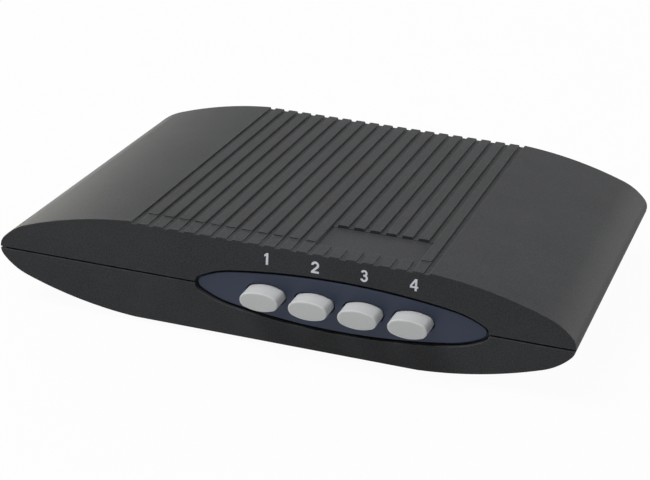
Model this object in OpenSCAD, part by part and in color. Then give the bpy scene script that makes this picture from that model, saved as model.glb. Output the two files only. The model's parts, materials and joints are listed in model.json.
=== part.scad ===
// Four-button video switch box: lens-section case in two shells, ribbed top, oval
// button panel at the front, five sockets in a panel at the rear.
// Millimetres. +Z up, front towards -Y. Origin under the middle of the whole
// object, on the surface that the feet stand on.

/* [Case] */
// Width over the two rounded side edges
case_w = 179; // [173:1:190]
// Depth from the front face to the rear face
case_d = 120; // [112:1:135]
// Height of the top cover above the parting line
cover_h = 16; // [15:0.5:18]
// Depth of the base tray below the parting line
base_h = 15; // [14:0.5:17]
// Wall thickness of both shells
wall = 2.2; // [1.8:0.1:2.6]
// Radius of the rounded side edge
nose_r = 4.5; // [3.6:0.1:5]
// Turn of the side edge before the cheek takes over, in degrees
nose_turn = 42; // [38:1:46]
// Height of the side edge's centre above the parting line
nose_up = 0.5; // [0:0.1:1]
// Radius of the cheek between the side edge and the long curve
cheek_r = 19; // [17:0.5:21]
// Radius of the long curve from the flat to the cheek
shoulder_r = 130; // [115:5:150]
// How far the long curves would bulge past the flat top and bottom that cut them off
belly = 0.2; // [0.1:0.05:0.4]
// Width of the dark line between the shells
parting_gap = 0.4; // [0.2:0.05:0.6]

/* [Ribbed top] */
// Number of ribs
rib_count = 18; // [12:2:18]
// Distance from rib to rib
rib_pitch = 5; // [4.5:0.1:5]
// Width of a groove at its mouth
groove_mouth = 2.4; // [1.4:0.1:2.8]
// Width of a groove at its floor
groove_floor = 1.2; // [0.6:0.1:1.3]
// Depth of a groove
groove_depth = 0.75; // [0.6:0.05:1]
// Depth of the lowered strip behind the front edge
front_strip = 8.3; // [6:0.1:11]
// How far the strip lies below the ribs
strip_drop = 0.3; // [0.2:0.05:0.5]
// First groove beside the label recess, counted from the middle groove
recess_first = 2; // [1:1:3]
// Last groove beside the label recess, counted from the middle groove
recess_last = 8; // [6:1:8]
// Length of the label recess behind the front strip
recess_len = 15.4; // [12:0.2:18]
// How far the recess lies below the groove floors
recess_drop = 0.15; // [0.05:0.05:0.3]
// Depth of the lowered strip before the rear edge
rear_strip = 4.4; // [3:0.1:6]
// How far the rear strip lies below the ribs
rear_drop = 0.2; // [0.1:0.05:0.3]

/* [Front panel] */
// Sideways offset of the button panel from the middle of the case
panel_x = 19.5; // [10:0.5:22]
// Length of the oval opening
panel_l = 90; // [86:1:94]
// Height of the oval opening
panel_h = 16.8; // [15.6:0.2:18]
// Radius of the ends of the oval opening
panel_end_r = 4; // [3.4:0.1:5]
// Depth of the panel's surface behind the front face, at its middle
panel_recess = 0.2; // [0.1:0.1:0.6]
// How much further back the panel's ends lie than its middle
panel_bow = 0.9; // [0.5:0.1:1.2]
// Thickness of the panel's flange behind the front wall
flange_t = 1.2; // [1:0.1:1.6]
// Overlap of the flange behind the edge of the opening
flange_lap = 1.6; // [1.2:0.1:2]

/* [Buttons] */
// Distance from button to button
button_pitch = 15; // [14.4:0.1:15.6]
// Width of a button cap
cap_w = 12.4; // [11.6:0.1:12.6]
// Height of a button cap
cap_h = 6; // [5.6:0.1:6.4]
// Radius of the cap's rounded ends
cap_end_r = 2.2; // [1.9:0.1:2.5]
// How far a button stands out of the front face
cap_proud = 6.1; // [5:0.1:7]
// Rounding of the cap's front edge
cap_edge = 0.55; // [0.3:0.05:0.8]
// How much smaller the cap is at its face than at its back, on each side
cap_draft = 0.12; // [0.05:0.01:0.2]
// Length of the cap behind the panel
cap_tail = 1.6; // [1:0.1:2.4]
// Depth of the socket in the cap's back
cap_socket = 6; // [5:0.5:7]
// How far a button travels when pressed
travel = 2.5; // [1.5:0.1:3]

/* [Push switches] */
// Width and height of a switch housing
switch_w = 8.6; // [8:0.1:9.2]
// Length of a switch housing
switch_l = 14; // [13.5:0.5:17]
// Wall thickness of a switch housing
switch_wall = 0.9; // [0.7:0.1:1]
// Thickness of the wafer that closes the housing
wafer_t = 0.9; // [0.7:0.1:1.1]
// Width of the square plunger rod
rod_w = 4; // [3.4:0.1:4.2]
// Length of the sliding block on the plunger
slider_l = 4.5; // [3.5:0.1:5]
// Length of the pegs that the spring sits on
spring_peg_l = 1.2; // [0.6:0.1:1.4]
// Wire diameter of the return spring
spring_wire = 0.4; // [0.3:0.05:0.45]
// Mean diameter of the return spring
spring_d = 3.5; // [3:0.1:3.9]
// Turns of the return spring
spring_turns = 5; // [4:1:6]
// Thickness of the contact strip
clip_t = 0.25; // [0.2:0.05:0.3]
// Distance of the contact strip from the ends of the sliding block
clip_end = 0.4; // [0.2:0.1:0.6]
// Distance of the contact strip from the sides of the sliding block
clip_side = 0.6; // [0.4:0.1:1]
// Height of the feet under a switch housing
switch_foot = 0.3; // [0.2:0.1:0.6]
// Length of the feet under a switch housing
switch_foot_l = 1.5; // [1:0.1:2]
// Spacing of the terminals along and across a switch
pin_pitch = 3.2; // [2.6:0.1:3.6]
// Side of a square terminal
pin_w = 0.6; // [0.5:0.05:0.7]
// Length of the terminals below the board
pin_tail = 1.4; // [1:0.1:2]

/* [Board] */
// Thickness of the circuit board
board_t = 1.6; // [1.2:0.2:2]
// Radius of a standoff under the board
standoff_r = 3; // [2.6:0.1:3.4]
// Distance of a board screw from the board's side edge
standoff_inset = 7; // [6:0.5:9]
// Distance of the front board screws behind the front face
standoff_front = 34; // [30:1:40]
// Distance of the rear board screws before the rear face
standoff_rear = 26; // [24:1:32]
// Height of a board screw's head
board_head_h = 1.4; // [1.2:0.1:1.6]
// Distance of the signal chip behind the middle of the case
chip_back = 8; // [6:0.5:10]
// Side of the square signal chip
chip_w = 14; // [10:1:18]
// Height of the signal chip
chip_h = 1.4; // [1:0.1:1.8]
// Radius of a can capacitor
can_r = 3.1; // [2.5:0.1:3.5]
// Height of a can capacitor
can_h = 5.4; // [4.5:0.1:6.5]
// Distance from can capacitor to can capacitor
can_pitch = 9.3; // [8:0.1:11]
// Distance of the first can capacitor from the signal chip
can_gap = 5; // [4:0.5:8]
// Width of the regulator
regulator_w = 6.5; // [5:0.1:7]
// Depth of the regulator
regulator_d = 3.6; // [3:0.1:4]
// Height of the regulator
regulator_h = 1.7; // [1.4:0.1:1.9]
// Distance of the regulator from the signal chip
regulator_gap = 15; // [12:0.5:18]
// Width of a surge guard behind a socket
esd_w = 5; // [4:0.1:6]
// Depth of a surge guard
esd_d = 3; // [2.5:0.1:4]
// Height of a surge guard
esd_h = 1; // [0.8:0.1:1.4]
// Distance of a surge guard from its socket
esd_gap = 4; // [3:0.5:6]
// Width of a chip capacitor
chip_cap_w = 2; // [1.6:0.1:2.2]
// Depth of a chip capacitor
chip_cap_d = 1.25; // [1:0.05:1.4]
// Height of a chip capacitor
chip_cap_h = 1.2; // [0.9:0.1:1.4]
// Distance from chip capacitor to chip capacitor
chip_cap_pitch = 2.6; // [2.5:0.1:2.8]
// Distance of the chip capacitors from the signal chip
chip_cap_gap = 2; // [1.5:0.1:4]

/* [Sockets] */
// Number of sockets
socket_count = 5; // [3:1:5]
// Distance from socket to socket
socket_pitch = 22; // [20:0.5:22.5]
// Width of a socket's mouth
mouth_w = 14; // [13.9:0.05:14.3]
// Height of a socket's mouth
mouth_h = 4.55; // [4.45:0.05:4.8]
// Corner cut on each side of the mouth's lower edge
mouth_cut = 1.9; // [1.4:0.1:2.2]
// Sheet thickness of a socket shell
shell_t = 0.4; // [0.3:0.05:0.5]
// Length of a socket shell
shell_l = 12; // [11:0.5:14]
// How far a socket stands out of the rear face
socket_proud = 0.4; // [0.2:0.1:1]
// Length of the insulator's block at the back of the shell
core_l = 4; // [3:0.5:5]
// Width of the contact tongue
tongue_w = 11.2; // [10.6:0.1:11.8]
// Thickness of the contact tongue
tongue_t = 1.3; // [1.1:0.1:1.5]
// Depth of the tongue's tip inside the mouth
tongue_in = 1.3; // [0.8:0.1:2]
// Height of the tongue above the middle of the mouth
tongue_up = 0.35; // [0.2:0.05:0.5]
// Width of a solder tab
tab_w = 1.2; // [1:0.1:1.6]
// Length of a solder tab below the board
tab_tail = 0.8; // [0.5:0.1:1.2]
// Distance of the rear solder tabs from the back of the shell
tab_back = 2; // [1.5:0.1:3]
// Distance of the front solder tabs from the mouth
tab_front = 6; // [5:0.1:7]
// Length of the rear opening in the shells
rear_l = 112; // [108:1:114]
// Height of the rear opening in the shells
rear_h = 10; // [9:0.5:12]

/* [Fasteners and feet] */
// Distance of a case screw from the side edge of the case
pillar_inset = 24; // [22:0.5:26]
// Distance of a case screw from the front or rear face
pillar_end = 20; // [16:1:26]
// Radius of a screw pillar
pillar_r = 4.6; // [4.2:0.1:5]
// How much slimmer the cover's bosses are than the pillars
boss_step = 0.6; // [0.4:0.1:0.8]
// Height of the screw pillars above the parting line
pillar_rise = 2; // [1.5:0.1:2.5]
// Thickness of the lip that lines the cover up
lip_t = 1.2; // [1:0.1:1.6]
// Height of the lip above the parting line
lip_up = 1.5; // [1:0.1:2]
// Depth of the lip's root below the parting line
lip_down = 2; // [1.6:0.1:2.4]
// Thickness of a rib behind the front panel
rib_t = 1.5; // [1.2:0.1:1.6]
// Width of a rib behind the front panel
rib_w = 2; // [1.6:0.2:3]
// Distance of a rib from the rounded end of the front panel
rib_inset = 4; // [3:0.5:6]
// Height between a rib and the parting line
rib_clear = 2; // [1.5:0.1:3]
// Radius of a case screw's shank
screw_r = 1.4; // [1.2:0.1:1.6]
// Radius of a case screw's head
screw_head_r = 2.7; // [2.4:0.1:2.9]
// Height of a case screw's head
screw_head_h = 1.9; // [1.5:0.1:2.3]
// Length of a case screw's shank
screw_l = 16; // [14:0.5:18]
// Depth of the screw's seat below the parting line
screw_seat = 8; // [7:0.5:8.5]
// Radius of a board screw's shank
board_screw_r = 1.1; // [0.9:0.1:1.3]
// Radius of a board screw's head
board_head_r = 2.2; // [2:0.1:2.6]
// Length of a board screw's shank
board_screw_l = 6; // [5:0.5:7]
// Radius of a rubber foot
foot_r = 5; // [4:0.25:5.5]
// Height of a foot below the base
foot_proud = 1.5; // [1:0.1:2.5]
// Rounding of a foot's lower edge
foot_edge = 0.6; // [0.3:0.1:0.9]
// Depth of the pocket that a foot is glued into
foot_pocket = 0.8; // [0.5:0.1:1]
// Distance of a foot from the middle of the case, sideways
foot_x = 38; // [34:0.5:39]
// Distance of a foot from the front or rear face
foot_end = 15; // [10:0.5:18]

/* [Clearances] */
// Gap round the front and rear panels in their openings
panel_gap = 0.6; // [0.3:0.05:0.7]
// Gap round a button cap in the panel
cap_gap = 0.3; // [0.2:0.05:0.45]
// Running gap of sliding parts
slide_gap = 0.2; // [0.12:0.02:0.28]
// Gap between parts that sit together
seat_gap = 0.1; // [0.05:0.01:0.15]
// Gap round a socket in the rear panel
window_gap = 0.35; // [0.2:0.05:0.6]
// Free space kept between parts that stay apart
free_gap = 1; // [0.8:0.1:1.4]

/* [Hidden] */
button_count = 4;
BUTTONS = [1 : button_count];
SIDES = [-1, 1];

case_colour = "#3f3f3e";
panel_colour = "#333c50";
cap_colour = "#c4c7c6";
board_colour = "#1f5a3a";
metal_colour = "#b9bcc0";
black_colour = "#1c1c1e";

// Places along the three axes
front_y = cap_proud - (case_d + cap_proud + socket_proud) / 2;
rear_y = front_y + case_d;
part_z = foot_proud + base_h;

// Centres of the side edge and of the cheek, sideways and below the side edge's centre
nose_x = case_w / 2 - nose_r;
cheek_x = nose_x - (cheek_r - nose_r) * cos(nose_turn);
cheek_drop = (cheek_r - nose_r) * sin(nose_turn);

// Step by which a round end stands proud of the longer curve that it runs into
hair = 0.02;
// How far a cutter runs past the face that it cuts
past = 1;
// How far a fused form reaches into the piece that it stands on
root = 0.1;

// Panel, button and switch stack, front to rear
panel_back_y = front_y + wall + flange_t;
cap_back_y = panel_back_y + cap_tail;
switch_y = cap_back_y + travel + free_gap;
slider_y = switch_y + switch_wall + slide_gap;
slider_back_y = slider_y + slider_l;
spring_seat_y = switch_y + switch_l - switch_wall;
rod_front_y = cap_back_y - cap_socket + seat_gap;
function button_x(i) = panel_x + (i - (button_count + 1) / 2) * button_pitch;

// Switch section, measured from the button's axis
cavity_half = switch_w / 2 - switch_wall;
slider_half = cavity_half - slide_gap;
wafer_top = -switch_w / 2 + wafer_t;
slider_bottom = wafer_top + 2 * slide_gap + clip_t;
spring_peg_r = spring_d / 2 - spring_wire / 2 - slide_gap;

// Board level and outline
board_top = part_z - switch_w / 2 - switch_foot;
board_bottom = board_top - board_t;
pillar_x = case_w / 2 - pillar_inset;
pillar_ys = [front_y + pillar_end, rear_y - pillar_end];
board_half = pillar_x - pillar_r - free_gap;
rib_y = panel_back_y + seat_gap;
board_y0 = rib_y + rib_t + free_gap / 2;
board_y1 = rear_y - wall - flange_t - free_gap / 2;
standoff_x = board_half - standoff_inset;
standoff_ys = [front_y + standoff_front, rear_y - standoff_rear];
board_hole_r = board_screw_r + slide_gap;

// Sockets stand on the board
shell_h = mouth_h + 2 * shell_t;
shell_w = mouth_w + 2 * shell_t;
socket_z = board_top + shell_h / 2;
mouth_y = rear_y + socket_proud;
socket_back_y = mouth_y - shell_l;
tab_ys = [socket_back_y + tab_back, mouth_y - tab_front];
function socket_x(i) = (i - (socket_count + 1) / 2) * socket_pitch;

// Meeting plane of the screw pillars
pillar_top = part_z + pillar_rise;
boss_r = pillar_r - boss_step;
boss_hole_l = screw_l - screw_seat - pillar_rise + free_gap;

// Middle of the signal chip
chip_y = front_y + case_d / 2 + chip_back;

// Edges of a full circle: small ones, cheeks, long curves, and caps that are hulled
$fn = 64;
cheek_fn = 180;
curve_fn = 360;
mesh_fn = 24;
// Points of the panel's bow on each side of its middle
bow_steps = 20;
// Sides of the spring's wire and rings in one of its turns
wire_sides = 6;
turn_rings = 12;

numbered = function(name, count) [for (i = [1 : count]) str(name, "_", i)];

// Extrudes a front-view outline from one depth to another
module along_y(y0, y1) {
    translate([0, y1, 0])
        rotate([90, 0, 0])
            linear_extrude(y1 - y0) children();
}

// Box between two corners
module box(low, high) {
    translate(low) cube(high - low);
}

// Part of an outline between two upright lines
module between_x(x0, x1, reach) {
    intersection() {
        children();
        translate([x0, -reach]) square([x1 - x0, 2 * reach]);
    }
}

// Oval of four arcs, rounded ends running into long arcs
module oval(length, height, end_r, end_fn = $fn, long_fn = curve_fn) {
    half_l = length / 2 - end_r;
    half_h = height / 2;
    long_r = (pow(half_l, 2) + pow(half_h, 2) - pow(end_r, 2)) / (2 * (half_h - end_r));
    join_x = half_l * long_r / (long_r - end_r);
    between_x(-join_x, join_x, height)
        intersection_for (side = SIDES) {
            translate([0, side * (half_h - long_r)]) circle(long_r - hair, $fn = long_fn);
        }
    for (side = SIDES) {
        translate([side * half_l, 0]) circle(end_r, $fn = end_fn);
    }
}

// One half of the case section above its parting line, moved inwards by inset: a flat,
// and on each side a long curve, a cheek and a rounded side edge that run into one another
module half_section(depth, rise, inset) {
    cheek_z = rise - cheek_drop;
    crest_z = depth + belly - shoulder_r;
    crest_x = cheek_x - sqrt(pow(shoulder_r - cheek_r, 2) - pow(cheek_z - crest_z, 2));
    lean = (cheek_x - crest_x) / (shoulder_r - cheek_r);
    long_end = cheek_x + (cheek_r - inset) * lean;
    cheek_end = nose_x + (nose_r - inset) * cos(nose_turn);
    intersection() {
        union() {
            translate([-crest_x, 0]) square([2 * crest_x, depth]);
            for (side = [0, 1]) {
                mirror([side, 0]) {
                    between_x(crest_x - belly, long_end, 2 * depth)
                        translate([crest_x, crest_z])
                            circle(shoulder_r - inset - 2 * hair, $fn = curve_fn);
                    between_x(cheek_x, cheek_end, 2 * depth)
                        translate([cheek_x, cheek_z])
                            circle(cheek_r - inset - hair, $fn = cheek_fn);
                    translate([nose_x, rise]) circle(nose_r - inset);
                }
            }
        }
        translate([-case_w, 0]) square([2 * case_w, depth - inset]);
    }
}

module cover_section(inset) {
    translate([0, part_z]) half_section(cover_h, nose_up, inset);
}

module base_section(inset) {
    translate([0, part_z])
        mirror([0, 1]) half_section(base_h, -nose_up, inset);
}

module front_opening(grow) {
    translate([panel_x, part_z])
        oval(panel_l + 2 * grow, panel_h + 2 * grow, panel_end_r + grow);
}

module rear_opening(grow) {
    translate([0, socket_z])
        square([rear_l + 2 * grow, rear_h + 2 * grow], center = true);
}

// Cuts both shells share: the two panel openings
module panel_cuts() {
    along_y(front_y - wall, front_y + 2 * wall) front_opening(0);
    along_y(rear_y - 2 * wall, rear_y + wall) rear_opening(0);
}

function groove_x(i) = i * rib_pitch;
groove_last = rib_count / 2;

// One groove outline with its mouth at the level of the flat top
module groove_outline() {
    slope = (groove_mouth - groove_floor) / 2 / groove_depth;
    top_half = groove_mouth / 2 + slope * groove_depth;
    polygon([
        [-groove_floor / 2, -groove_depth],
        [groove_floor / 2, -groove_depth],
        [top_half, groove_depth],
        [-top_half, groove_depth],
    ]);
}

module grooves(first, last, y0, y1) {
    along_y(y0, y1)
        for (i = [first : last]) {
            translate([groove_x(i), part_z + cover_h]) groove_outline();
        }
}

// Pattern cut into the flat top of the cover
module top_pattern() {
    top_z = part_z + cover_h;
    field = groove_x(groove_last) + groove_mouth / 2;
    cut_z = top_z + past;
    strip_y = front_y + front_strip;
    recess_y = strip_y + recess_len;
    recess_x0 = groove_x(recess_first) - groove_mouth / 2;
    recess_x1 = groove_x(recess_last) + groove_mouth / 2;
    recess_z = top_z - groove_depth - recess_drop;
    grooves(-groove_last, groove_last, front_y - past, rear_y + past);
    box([-field, front_y - past, top_z - strip_drop], [field, strip_y, cut_z]);
    box([-field, rear_y - rear_strip, top_z - rear_drop], [field, rear_y + past, cut_z]);
    box([recess_x0, strip_y - groove_mouth / 2, recess_z], [recess_x1, recess_y, cut_z]);
}

module at_pillars() {
    for (side = SIDES, y = pillar_ys) {
        translate([side * pillar_x, y, 0]) children();
    }
}

module at_standoffs() {
    for (side = SIDES, y = standoff_ys) {
        translate([side * standoff_x, y, 0]) children();
    }
}

module at_feet() {
    for (side = SIDES, y = [front_y + foot_end, rear_y - foot_end]) {
        translate([side * foot_x, y, 0]) children();
    }
}

// Upright ribs that hold the flange of a panel against its wall
module panel_ribs(z0, z1) {
    for (side = SIDES) {
        front_rib_x = panel_x + side * (panel_l / 2 - panel_end_r - rib_inset);
        box([front_rib_x - rib_w / 2, rib_y, z0], [front_rib_x + rib_w / 2, rib_y + rib_t, z1]);
    }
}

module top_cover() {
    color(case_colour)
    difference() {
        union() {
            difference() {
                along_y(front_y, rear_y) cover_section(0);
                along_y(front_y + wall, rear_y - wall) cover_section(wall);
            }
            intersection() {
                union() {
                    at_pillars()
                        translate([0, 0, pillar_top + seat_gap]) cylinder(r = boss_r, h = cover_h);
                    panel_ribs(part_z + rib_clear, part_z + cover_h);
                }
                along_y(front_y + wall / 2, rear_y - wall / 2) cover_section(wall / 2);
            }
        }
        at_pillars()
            translate([0, 0, pillar_top]) cylinder(r = screw_r + seat_gap / 2, h = boss_hole_l);
        panel_cuts();
        top_pattern();
        translate([0, 0, part_z])
            cube([2 * case_w, 2 * case_d, parting_gap], center = true);
    }
}

// Lip that lines the cover up, interrupted at the two panels
module lip() {
    outer_x = case_w / 2 - wall - 2 * slide_gap;
    difference() {
        union() {
            box([-outer_x, front_y + wall + slide_gap, part_z - lip_down],
                [outer_x, rear_y - wall - slide_gap, part_z + lip_up]);
            intersection() {
                box([-case_w, front_y + wall / 2, part_z - lip_down],
                    [case_w, rear_y - wall / 2, part_z - parting_gap / 2]);
                along_y(front_y + wall / 2, rear_y - wall / 2) base_section(wall / 2);
            }
        }
        box([-outer_x + lip_t, front_y + wall + slide_gap + lip_t, part_z - case_d],
            [outer_x - lip_t, rear_y - wall - slide_gap - lip_t, part_z + case_d]);
        along_y(front_y + wall, front_y + 4 * wall) front_opening(flange_lap + free_gap);
        along_y(rear_y - 4 * wall, rear_y - wall) rear_opening(flange_lap + free_gap);
    }
}

module base_tray() {
    seat_z = part_z - screw_seat;
    color(case_colour)
    difference() {
        union() {
            difference() {
                along_y(front_y, rear_y) base_section(0);
                along_y(front_y + wall, rear_y - wall) base_section(wall);
                translate([0, 0, part_z])
                    cube([2 * case_w, 2 * case_d, parting_gap], center = true);
            }
            lip();
            intersection() {
                union() {
                    at_pillars() cylinder(r = pillar_r, h = part_z);
                    at_standoffs() cylinder(r = standoff_r, h = board_bottom);
                    panel_ribs(0, part_z - rib_clear);
                }
                along_y(front_y + wall / 2, rear_y - wall / 2) base_section(wall / 2);
            }
            at_pillars()
                translate([0, 0, part_z - past]) cylinder(r = pillar_r, h = pillar_rise + past);
        }
        at_pillars() cylinder(r = screw_head_r + slide_gap, h = seat_z);
        at_pillars() cylinder(r = screw_r + slide_gap, h = part_z + cover_h);
        at_standoffs()
            translate([0, 0, board_bottom - board_screw_l])
                cylinder(r = board_screw_r + seat_gap / 2, h = board_screw_l + past);
        at_feet() cylinder(r = foot_r + seat_gap, h = foot_proud + foot_pocket);
        panel_cuts();
    }
}

// Plan view of the panel, its front edge bowed forwards at the middle
module panel_plan() {
    half_l = panel_l / 2;
    bow_edge = [
        for (k = [-bow_steps : bow_steps])
            let (t = k / bow_steps)
            [half_l * t, panel_recess + panel_bow * t * t]
    ];
    back = panel_back_y - front_y;
    translate([panel_x, front_y]) polygon(concat(bow_edge, [[half_l, back], [-half_l, back]]));
}

// Bowed oval insert with a flange behind the front wall
module front_panel() {
    color(panel_colour)
    difference() {
        union() {
            intersection() {
                along_y(front_y, panel_back_y) front_opening(-panel_gap);
                linear_extrude(part_z + cover_h) panel_plan();
            }
            along_y(front_y + wall + seat_gap, panel_back_y) front_opening(flange_lap);
        }
        for (i = BUTTONS) {
            along_y(front_y - past, panel_back_y + past)
                translate([button_x(i), part_z])
                    oval(cap_w + 2 * cap_gap, cap_h + 2 * cap_gap, cap_end_r + cap_gap);
        }
    }
}

// Outline of a socket, wide at the top with cut lower corners
module socket_outline(grow) {
    half_w = mouth_w / 2 + grow;
    half_h = mouth_h / 2 + grow;
    cut = mouth_cut + grow * (sqrt(2) - 1) / sqrt(2);
    polygon([
        [-half_w, half_h],
        [-half_w, -half_h + cut],
        [-half_w + cut, -half_h],
        [half_w - cut, -half_h],
        [half_w, -half_h + cut],
        [half_w, half_h],
    ]);
}

module rear_panel() {
    inner_y = rear_y - wall - flange_t;
    color(black_colour)
    difference() {
        union() {
            along_y(inner_y, rear_y) rear_opening(-panel_gap / 2);
            along_y(inner_y, rear_y - wall - seat_gap) rear_opening(flange_lap);
        }
        for (i = [1 : socket_count]) {
            along_y(inner_y - past, rear_y + past)
                translate([socket_x(i), socket_z]) socket_outline(shell_t + window_gap);
        }
    }
}

module cap_slice(shrink, y0, y1) {
    along_y(y0, y1)
        oval(cap_w - 2 * shrink, cap_h - 2 * shrink, cap_end_r - shrink, mesh_fn, 4 * mesh_fn);
}

// Oval cap, a little smaller at its face, with a rounded edge there
module button_cap(i) {
    face_y = front_y - cap_proud;
    edge_step = cap_edge * (1 - cos(45));
    socket_w = rod_w + 2 * seat_gap;
    color(cap_colour)
    translate([button_x(i), 0, part_z])
        difference() {
            hull() {
                cap_slice(0, cap_back_y - cap_tail, cap_back_y);
                cap_slice(cap_draft, face_y + cap_edge, cap_back_y - cap_tail);
                cap_slice(cap_draft + edge_step, face_y + edge_step, cap_back_y - cap_tail);
                cap_slice(cap_draft + cap_edge, face_y, cap_back_y - cap_tail);
            }
            box([-socket_w / 2, cap_back_y - cap_socket, -socket_w / 2],
                [socket_w / 2, cap_back_y + past, socket_w / 2]);
        }
}

// Square rod in the cap, sliding block in the housing, peg in the spring
module plunger(i) {
    color(black_colour)
    translate([button_x(i), 0, part_z]) {
        box([-rod_w / 2, rod_front_y, -rod_w / 2], [rod_w / 2, slider_y + past, rod_w / 2]);
        box([-slider_half, slider_y, slider_bottom], [slider_half, slider_back_y, slider_half]);
        translate([0, slider_back_y, 0])
            rotate([-90, 0, 0]) cylinder(r = spring_peg_r, h = spring_peg_l);
    }
}

// Spring at rest: its pitch, and the points of its wire ring by ring
spring_pitch = (spring_seat_y - slider_back_y - spring_wire - seat_gap) / spring_turns;
spring_rings = turn_rings * spring_turns;
function helix_point(turn, r) = [r * cos(360 * turn), turn * spring_pitch, r * sin(360 * turn)];
function wire_ring(turn) = [
    for (k = [0 : wire_sides - 1])
        let (a = 360 * k / wire_sides, reach = spring_wire / 2)
        helix_point(turn, spring_d / 2 + reach * cos(a)) + [0, reach * sin(a), 0]
];

// Least distance between the wire of one turn and the wire of the next
spring_gap = min([
    for (p = wire_ring(0), q = wire_ring(1)) norm(p - q)
]);
echo(spring_gap = spring_gap);

module return_spring(i) {
    points = [for (s = [0 : spring_rings]) each wire_ring(s / turn_rings)];
    tube = [
        for (s = [0 : spring_rings - 1], k = [0 : wire_sides - 1])
            let (a = s * wire_sides + k, b = s * wire_sides + (k + 1) % wire_sides)
            each [[a, b, b + wire_sides], [a, b + wire_sides, a + wire_sides]]
    ];
    first_end = [for (k = [1 : wire_sides - 2]) [0, k + 1, k]];
    last_end = [for (k = [1 : wire_sides - 2]) [0, k, k + 1] + spring_rings * wire_sides * [1, 1, 1]];
    color(metal_colour)
    translate([button_x(i), slider_back_y + (spring_wire + seat_gap) / 2, part_z])
        polyhedron(points, concat(tube, first_end, last_end));
}

// Bent strip that bridges the terminals, carried under the sliding block
module contact_clip(i) {
    lift = slide_gap;
    run = slider_l / 2 - clip_end;
    color("#b08d57")
    translate([button_x(i), slider_y + slider_l / 2, part_z + slider_bottom])
        rotate([90, 0, 90])
            translate([0, 0, -slider_half + clip_side])
                linear_extrude(2 * (slider_half - clip_side))
                    polygon([
                        [-run, -lift],
                        [-run / 2, 0],
                        [run / 2, 0],
                        [run, -lift],
                        [run, -lift - clip_t],
                        [run / 2, -clip_t],
                        [-run / 2, -clip_t],
                        [-run, -lift - clip_t],
                    ]);
}

module switch_body(i) {
    half = switch_w / 2;
    back_y = switch_y + switch_l;
    hole = rod_w / 2 + slide_gap;
    color(black_colour)
    translate([button_x(i), 0, part_z]) {
        difference() {
            box([-half, switch_y, -half], [half, back_y, half]);
            box([-cavity_half, switch_y + switch_wall, -half - past],
                [cavity_half, back_y - switch_wall, cavity_half]);
            box([-hole, switch_y - past, -hole], [hole, switch_y + 2 * switch_wall, hole]);
        }
        translate([0, spring_seat_y + root, 0])
            rotate([90, 0, 0]) cylinder(r = spring_peg_r, h = spring_peg_l + root);
        for (side = SIDES, y = [switch_y, back_y - switch_foot_l]) {
            translate([side * (half - switch_wall / 2) - switch_wall / 2, y, -half - switch_foot])
                cube([switch_wall, switch_foot_l, switch_foot + root]);
        }
    }
}

module switch_base(i) {
    half = cavity_half - seat_gap / 2;
    color("#4a3527")
    translate([button_x(i), 0, part_z])
        box([-half, switch_y + switch_wall + seat_gap / 2, -switch_w / 2],
            [half, switch_y + switch_l - switch_wall - seat_gap / 2, wafer_top]);
}

module at_pins() {
    mid_y = switch_y + switch_l / 2;
    for (i = BUTTONS, side = SIDES, row = [-1 : 1]) {
        translate([button_x(i) + side * pin_pitch / 2, mid_y + row * pin_pitch, 0]) children();
    }
}

module switch_pins() {
    tail_z = board_bottom - pin_tail;
    color(metal_colour)
    at_pins()
        translate([-pin_w / 2, -pin_w / 2, tail_z])
            cube([pin_w, pin_w, part_z - switch_w / 2 - tail_z]);
}

module at_tabs(i) {
    for (side = SIDES, y = tab_ys) {
        translate([socket_x(i) + side * (shell_w - shell_t) / 2, y, 0]) children();
    }
}

module main_board() {
    color(board_colour)
    difference() {
        box([-board_half, board_y0, board_bottom], [board_half, board_y1, board_top]);
        translate([0, 0, board_bottom - past]) {
            at_standoffs() cylinder(r = board_hole_r, h = board_t + 2 * past);
            at_pins() cylinder(r = pin_w / sqrt(2) + slide_gap / 2, h = board_t + 2 * past);
            for (i = [1 : socket_count]) {
                at_tabs(i) cylinder(r = tab_w / 2 + slide_gap, h = board_t + 2 * past);
            }
        }
    }
}

// Folded sheet shell with four tabs through the board
module hdmi_shell(i) {
    tab_z = board_bottom - tab_tail;
    color(metal_colour) {
        along_y(socket_back_y, mouth_y)
            translate([socket_x(i), socket_z])
                difference() {
                    socket_outline(shell_t);
                    socket_outline(0);
                }
        at_tabs(i)
            translate([-shell_t / 2, -tab_w / 2, tab_z])
                cube([shell_t, tab_w, socket_z + mouth_h / 4 - tab_z]);
    }
}

module hdmi_core(i) {
    block_y = socket_back_y + core_l;
    color(black_colour)
    translate([socket_x(i), 0, socket_z]) {
        along_y(socket_back_y, block_y) socket_outline(-seat_gap / 2);
        box([-tongue_w / 2, block_y - past, tongue_up - tongue_t / 2],
            [tongue_w / 2, mouth_y - tongue_in, tongue_up + tongue_t / 2]);
    }
}

module signal_chip() {
    color(black_colour)
    translate([-chip_w / 2, chip_y - chip_w / 2, board_top]) cube([chip_w, chip_w, chip_h]);
}

module regulator() {
    color(black_colour)
    translate([chip_w / 2 + regulator_gap, chip_y, board_top])
        cube([regulator_w, regulator_d, regulator_h]);
}

module esd_arrays() {
    color(black_colour)
    for (i = [1 : socket_count]) {
        translate([socket_x(i) - esd_w / 2, socket_back_y - esd_gap - esd_d, board_top])
            cube([esd_w, esd_d, esd_h]);
    }
}

module can_capacitors() {
    first_x = chip_w / 2 + can_gap + can_r;
    color(metal_colour)
    for (k = [0, 1]) {
        translate([-first_x - k * can_pitch, chip_y, board_top]) cylinder(r = can_r, h = can_h);
    }
}

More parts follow.
